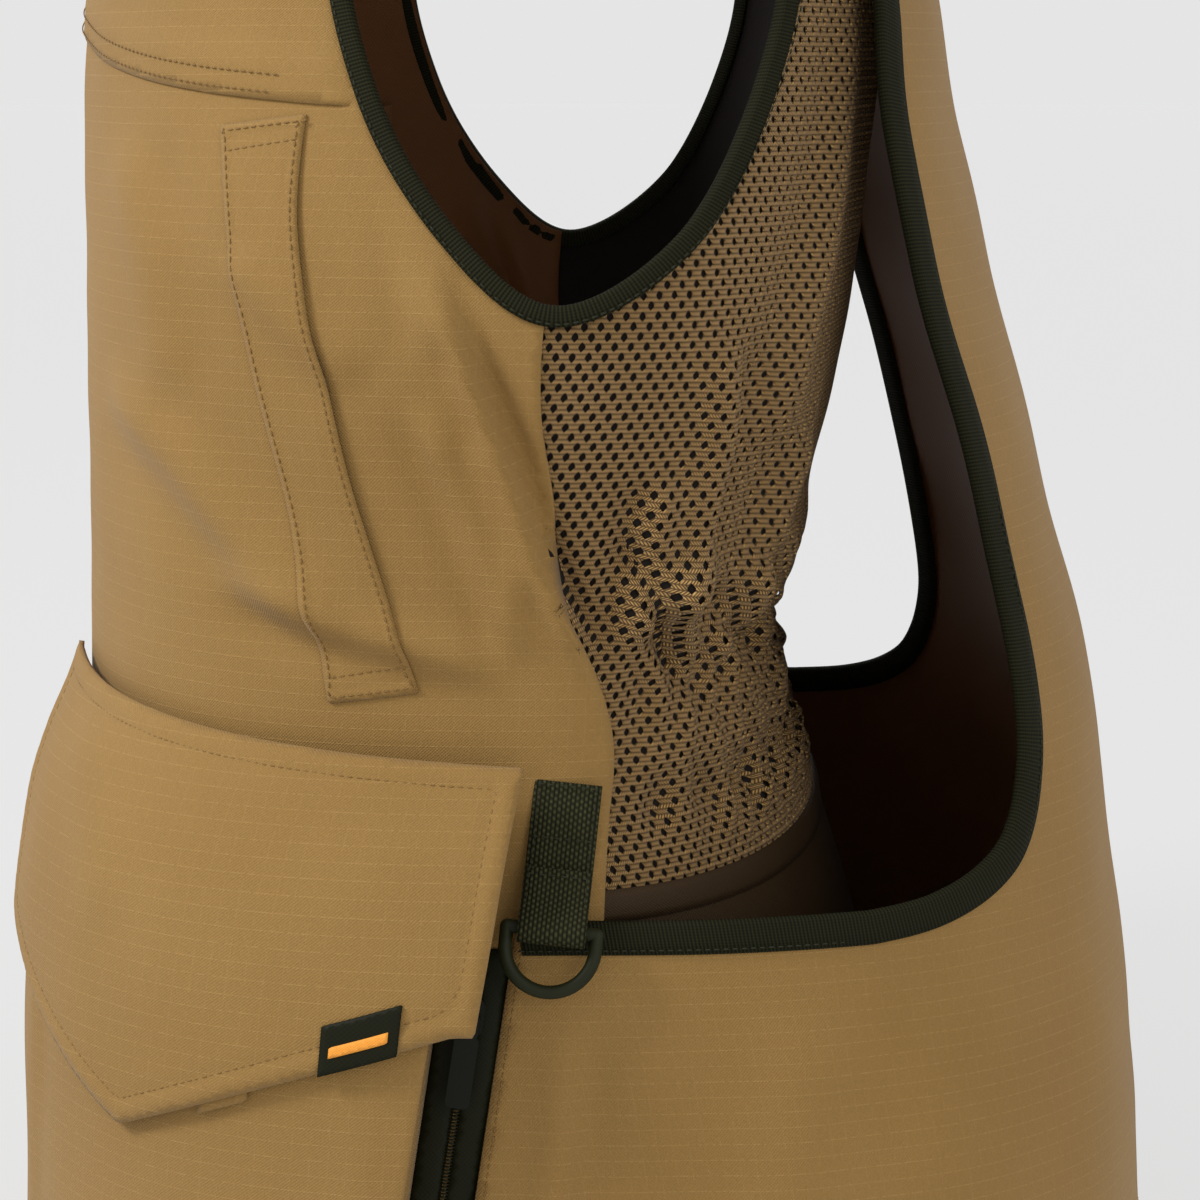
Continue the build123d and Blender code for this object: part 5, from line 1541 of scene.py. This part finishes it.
def on_yoke(line):
    """The yoke's height along a sewn line."""
    return SHELL_FACE + 0.6 + yoke_fold(line, None)


def on_welt(line):
    """The welt's height along a sewn line."""
    away = np.abs(line_distance(line[:, 0], line[:, 1], welt_cut + welt_cut[:1])[0])
    return 4.65 + welt_mouth(line, away)


tan_rows, green_rows = [], list(strap_rows)
welt_inset = grown(np.array(welt_cut), -2.4)
welt_inset = np.vstack([welt_inset, welt_inset[:1]])
welt_low = to_round("front", "y", [(-97, 267), (-71, 272)])
welt_high = to_round("front", "y", [(-132, 457), (-108, 461)])
heights = np.linspace(12, 166, 40)
zip_row = to_round("bag", "y", list(zip(zip_y(heights, TAPE_HALF + 3.2), heights)))
front_zip_row = [(15.0, z) for z in np.linspace(12, 438, 30)]
hem_half = [(w, 12.0) for w in np.linspace(12, seam_line("front", 12, 12, 1)[0][0] - 3, 60)]
bag_hem = [(w, 12.0) for w in np.linspace(-zip_side[1][0] + 4, zip_side[1][0] - 4, 120)]
opening_row = opening + (opening_into - opening) / 9 * 9.6
for side in (1, -1):
    for up in (2.5, 8.5):
        tan_rows.append(sewn_line("front", yoke_line(YOKE_LAP - up)[:-2], on_yoke, body_relief, side))
    for line in (welt_inset, welt_low, welt_high):
        tan_rows.append(sewn_line("front", line, on_welt, body_relief, side))
    tan_rows.append(sewn_line("bag", zip_row, 2.1, bag_relief, side))
    tan_rows.append(sewn_line("front", front_zip_row, 3.1, body_relief, side))
    tan_rows.append(sewn_line("front", hem_half, 3.1, body_relief, side))
    green_rows.append(sewn_line("front", to_round("front", "y", grown(hole, 5.3)), 4.75, body_relief, side))
    green_rows.append(sewn_line("bag", opening_row, 3.1, bag_relief, side))
tan_rows.append(sewn_line("bag", bag_hem, 2.1, bag_relief))
for up in (3.0, 9.0):
    back_row = [(w, BACK_YOKE + up) for w in np.linspace(-above[-1][0] + 6, above[-1][0] - 6, 60)]
    tan_rows.append(sewn_line("back", back_row, SHELL_FACE + 0.3, body_relief))
# The tan stitches carry painted shade of their needle holes in their thread colour.
attach(stitches("tan_stitches", tan_rows, tan_thread_with_painted_shade), slot="ripstop_tan")
attach(stitches("green_stitches", green_rows, green_thread), slot="grosgrain_green")

# %% Sewn lines on the flaps
inset_rear = to_round("front", "y", list(zip(rear_depths - 8.5, rear_heights)), 1)
chord_inset = np.linspace(-CHORD_HALF + 8, CHORD_HALF, 60)
inset_top = to_round("front", "t", [(t, float(flap_top(t)) - 8.5) for t in chord_inset], 1)
inset_low = to_round("front", "t", [(t, float(flap_low(t)) + 10) for t in chord_inset], 1)
inset_top = [p for p in inset_top if p[0] < inset_rear[0][0]]
inset_low = [p for p in inset_low if p[0] < inset_rear[-1][0]]
inset_rear = [p for p in inset_rear if inset_low[-1][1] < p[1] < inset_top[-1][1]]
flap_inset = inset_top + inset_rear + inset_low[::-1] + inset_top[:1]


def on_flap_row(line):
    """The flap's height along its sunk stitch line."""
    return FLAP_FACE + 0.1 + flap_lift(line, np.full(len(line), 9.0))


for side, name in ((1, "left"), (-1, "right")):
    flap_rows = stitches("flap_stitches_" + name, [sewn_line("front", flap_inset, on_flap_row, None, side)],
                         tan_thread_with_painted_shade)
    hinge_blend(flap_rows, side)
    attach(flap_rows, slot="ripstop_tan")

# %% [markdown]
# ## Floor, light and camera
# A pale floor and backdrop, one broad soft light from the front and above, and an even surround.

# %% Stage, lights and camera
world = bpy.data.worlds.new("Studio")
bpy.context.scene.world = world
world.use_nodes = True
PALE = 0.783
world.node_tree.nodes["Background"].inputs["Color"].default_value = (PALE, PALE, PALE, 1)
world.node_tree.nodes["Background"].inputs["Strength"].default_value = 1.0
bpy.context.scene.view_settings.view_transform = "Standard"
floor_material, _, floor_shader = start_material("Pale floor", 0.9)
floor_shader["Base Color"].default_value = (0.1, 0.1, 0.1, 1)
floor_shader["Emission Color"].default_value = (1, 1, 1, 1)
floor_shader["Emission Strength"].default_value = 0.66
floor_low = cad_low.z - 0.004
ring = [(30 * math.cos(a), 30 * math.sin(a), floor_low)
        for a in np.linspace(0, 2 * math.pi, 64, endpoint=False)]
floor = new_object("studio_floor", ring, [list(range(64))], None, floor_material, False)


def area_light(name, place_at, aim, size, power):
    """A soft square light that points at a place."""
    light = bpy.data.lights.new(name, "AREA")
    light.size = size
    light.energy = power
    thing = bpy.data.objects.new(name, light)
    thing.location = place_at
    thing.rotation_euler = (Vector(aim) - Vector(place_at)).to_track_quat("-Z", "Y").to_euler()
    bpy.context.scene.collection.objects.link(thing)


middle = (cad_low + cad_high) / 2
area_light("Key", (0.9, -2.2, 1.5), middle, 0.8, 62)
area_light("Fill", (2.6, 1.4, 0.6), middle, 1.6, 16)
camera_data = bpy.data.cameras.new("Camera")
camera_data.lens, camera_data.sensor_width = 92.13, 36.0
camera_data.clip_start = 0.01
camera = bpy.data.objects.new("Camera", camera_data)
camera.location = (1.332, -HANG[1] * MM, (492.7 - HANG[2]) * MM)
camera.rotation_euler = (math.radians(79.9), 0, math.radians(90))
bpy.context.scene.collection.objects.link(camera)
bpy.context.scene.camera = camera
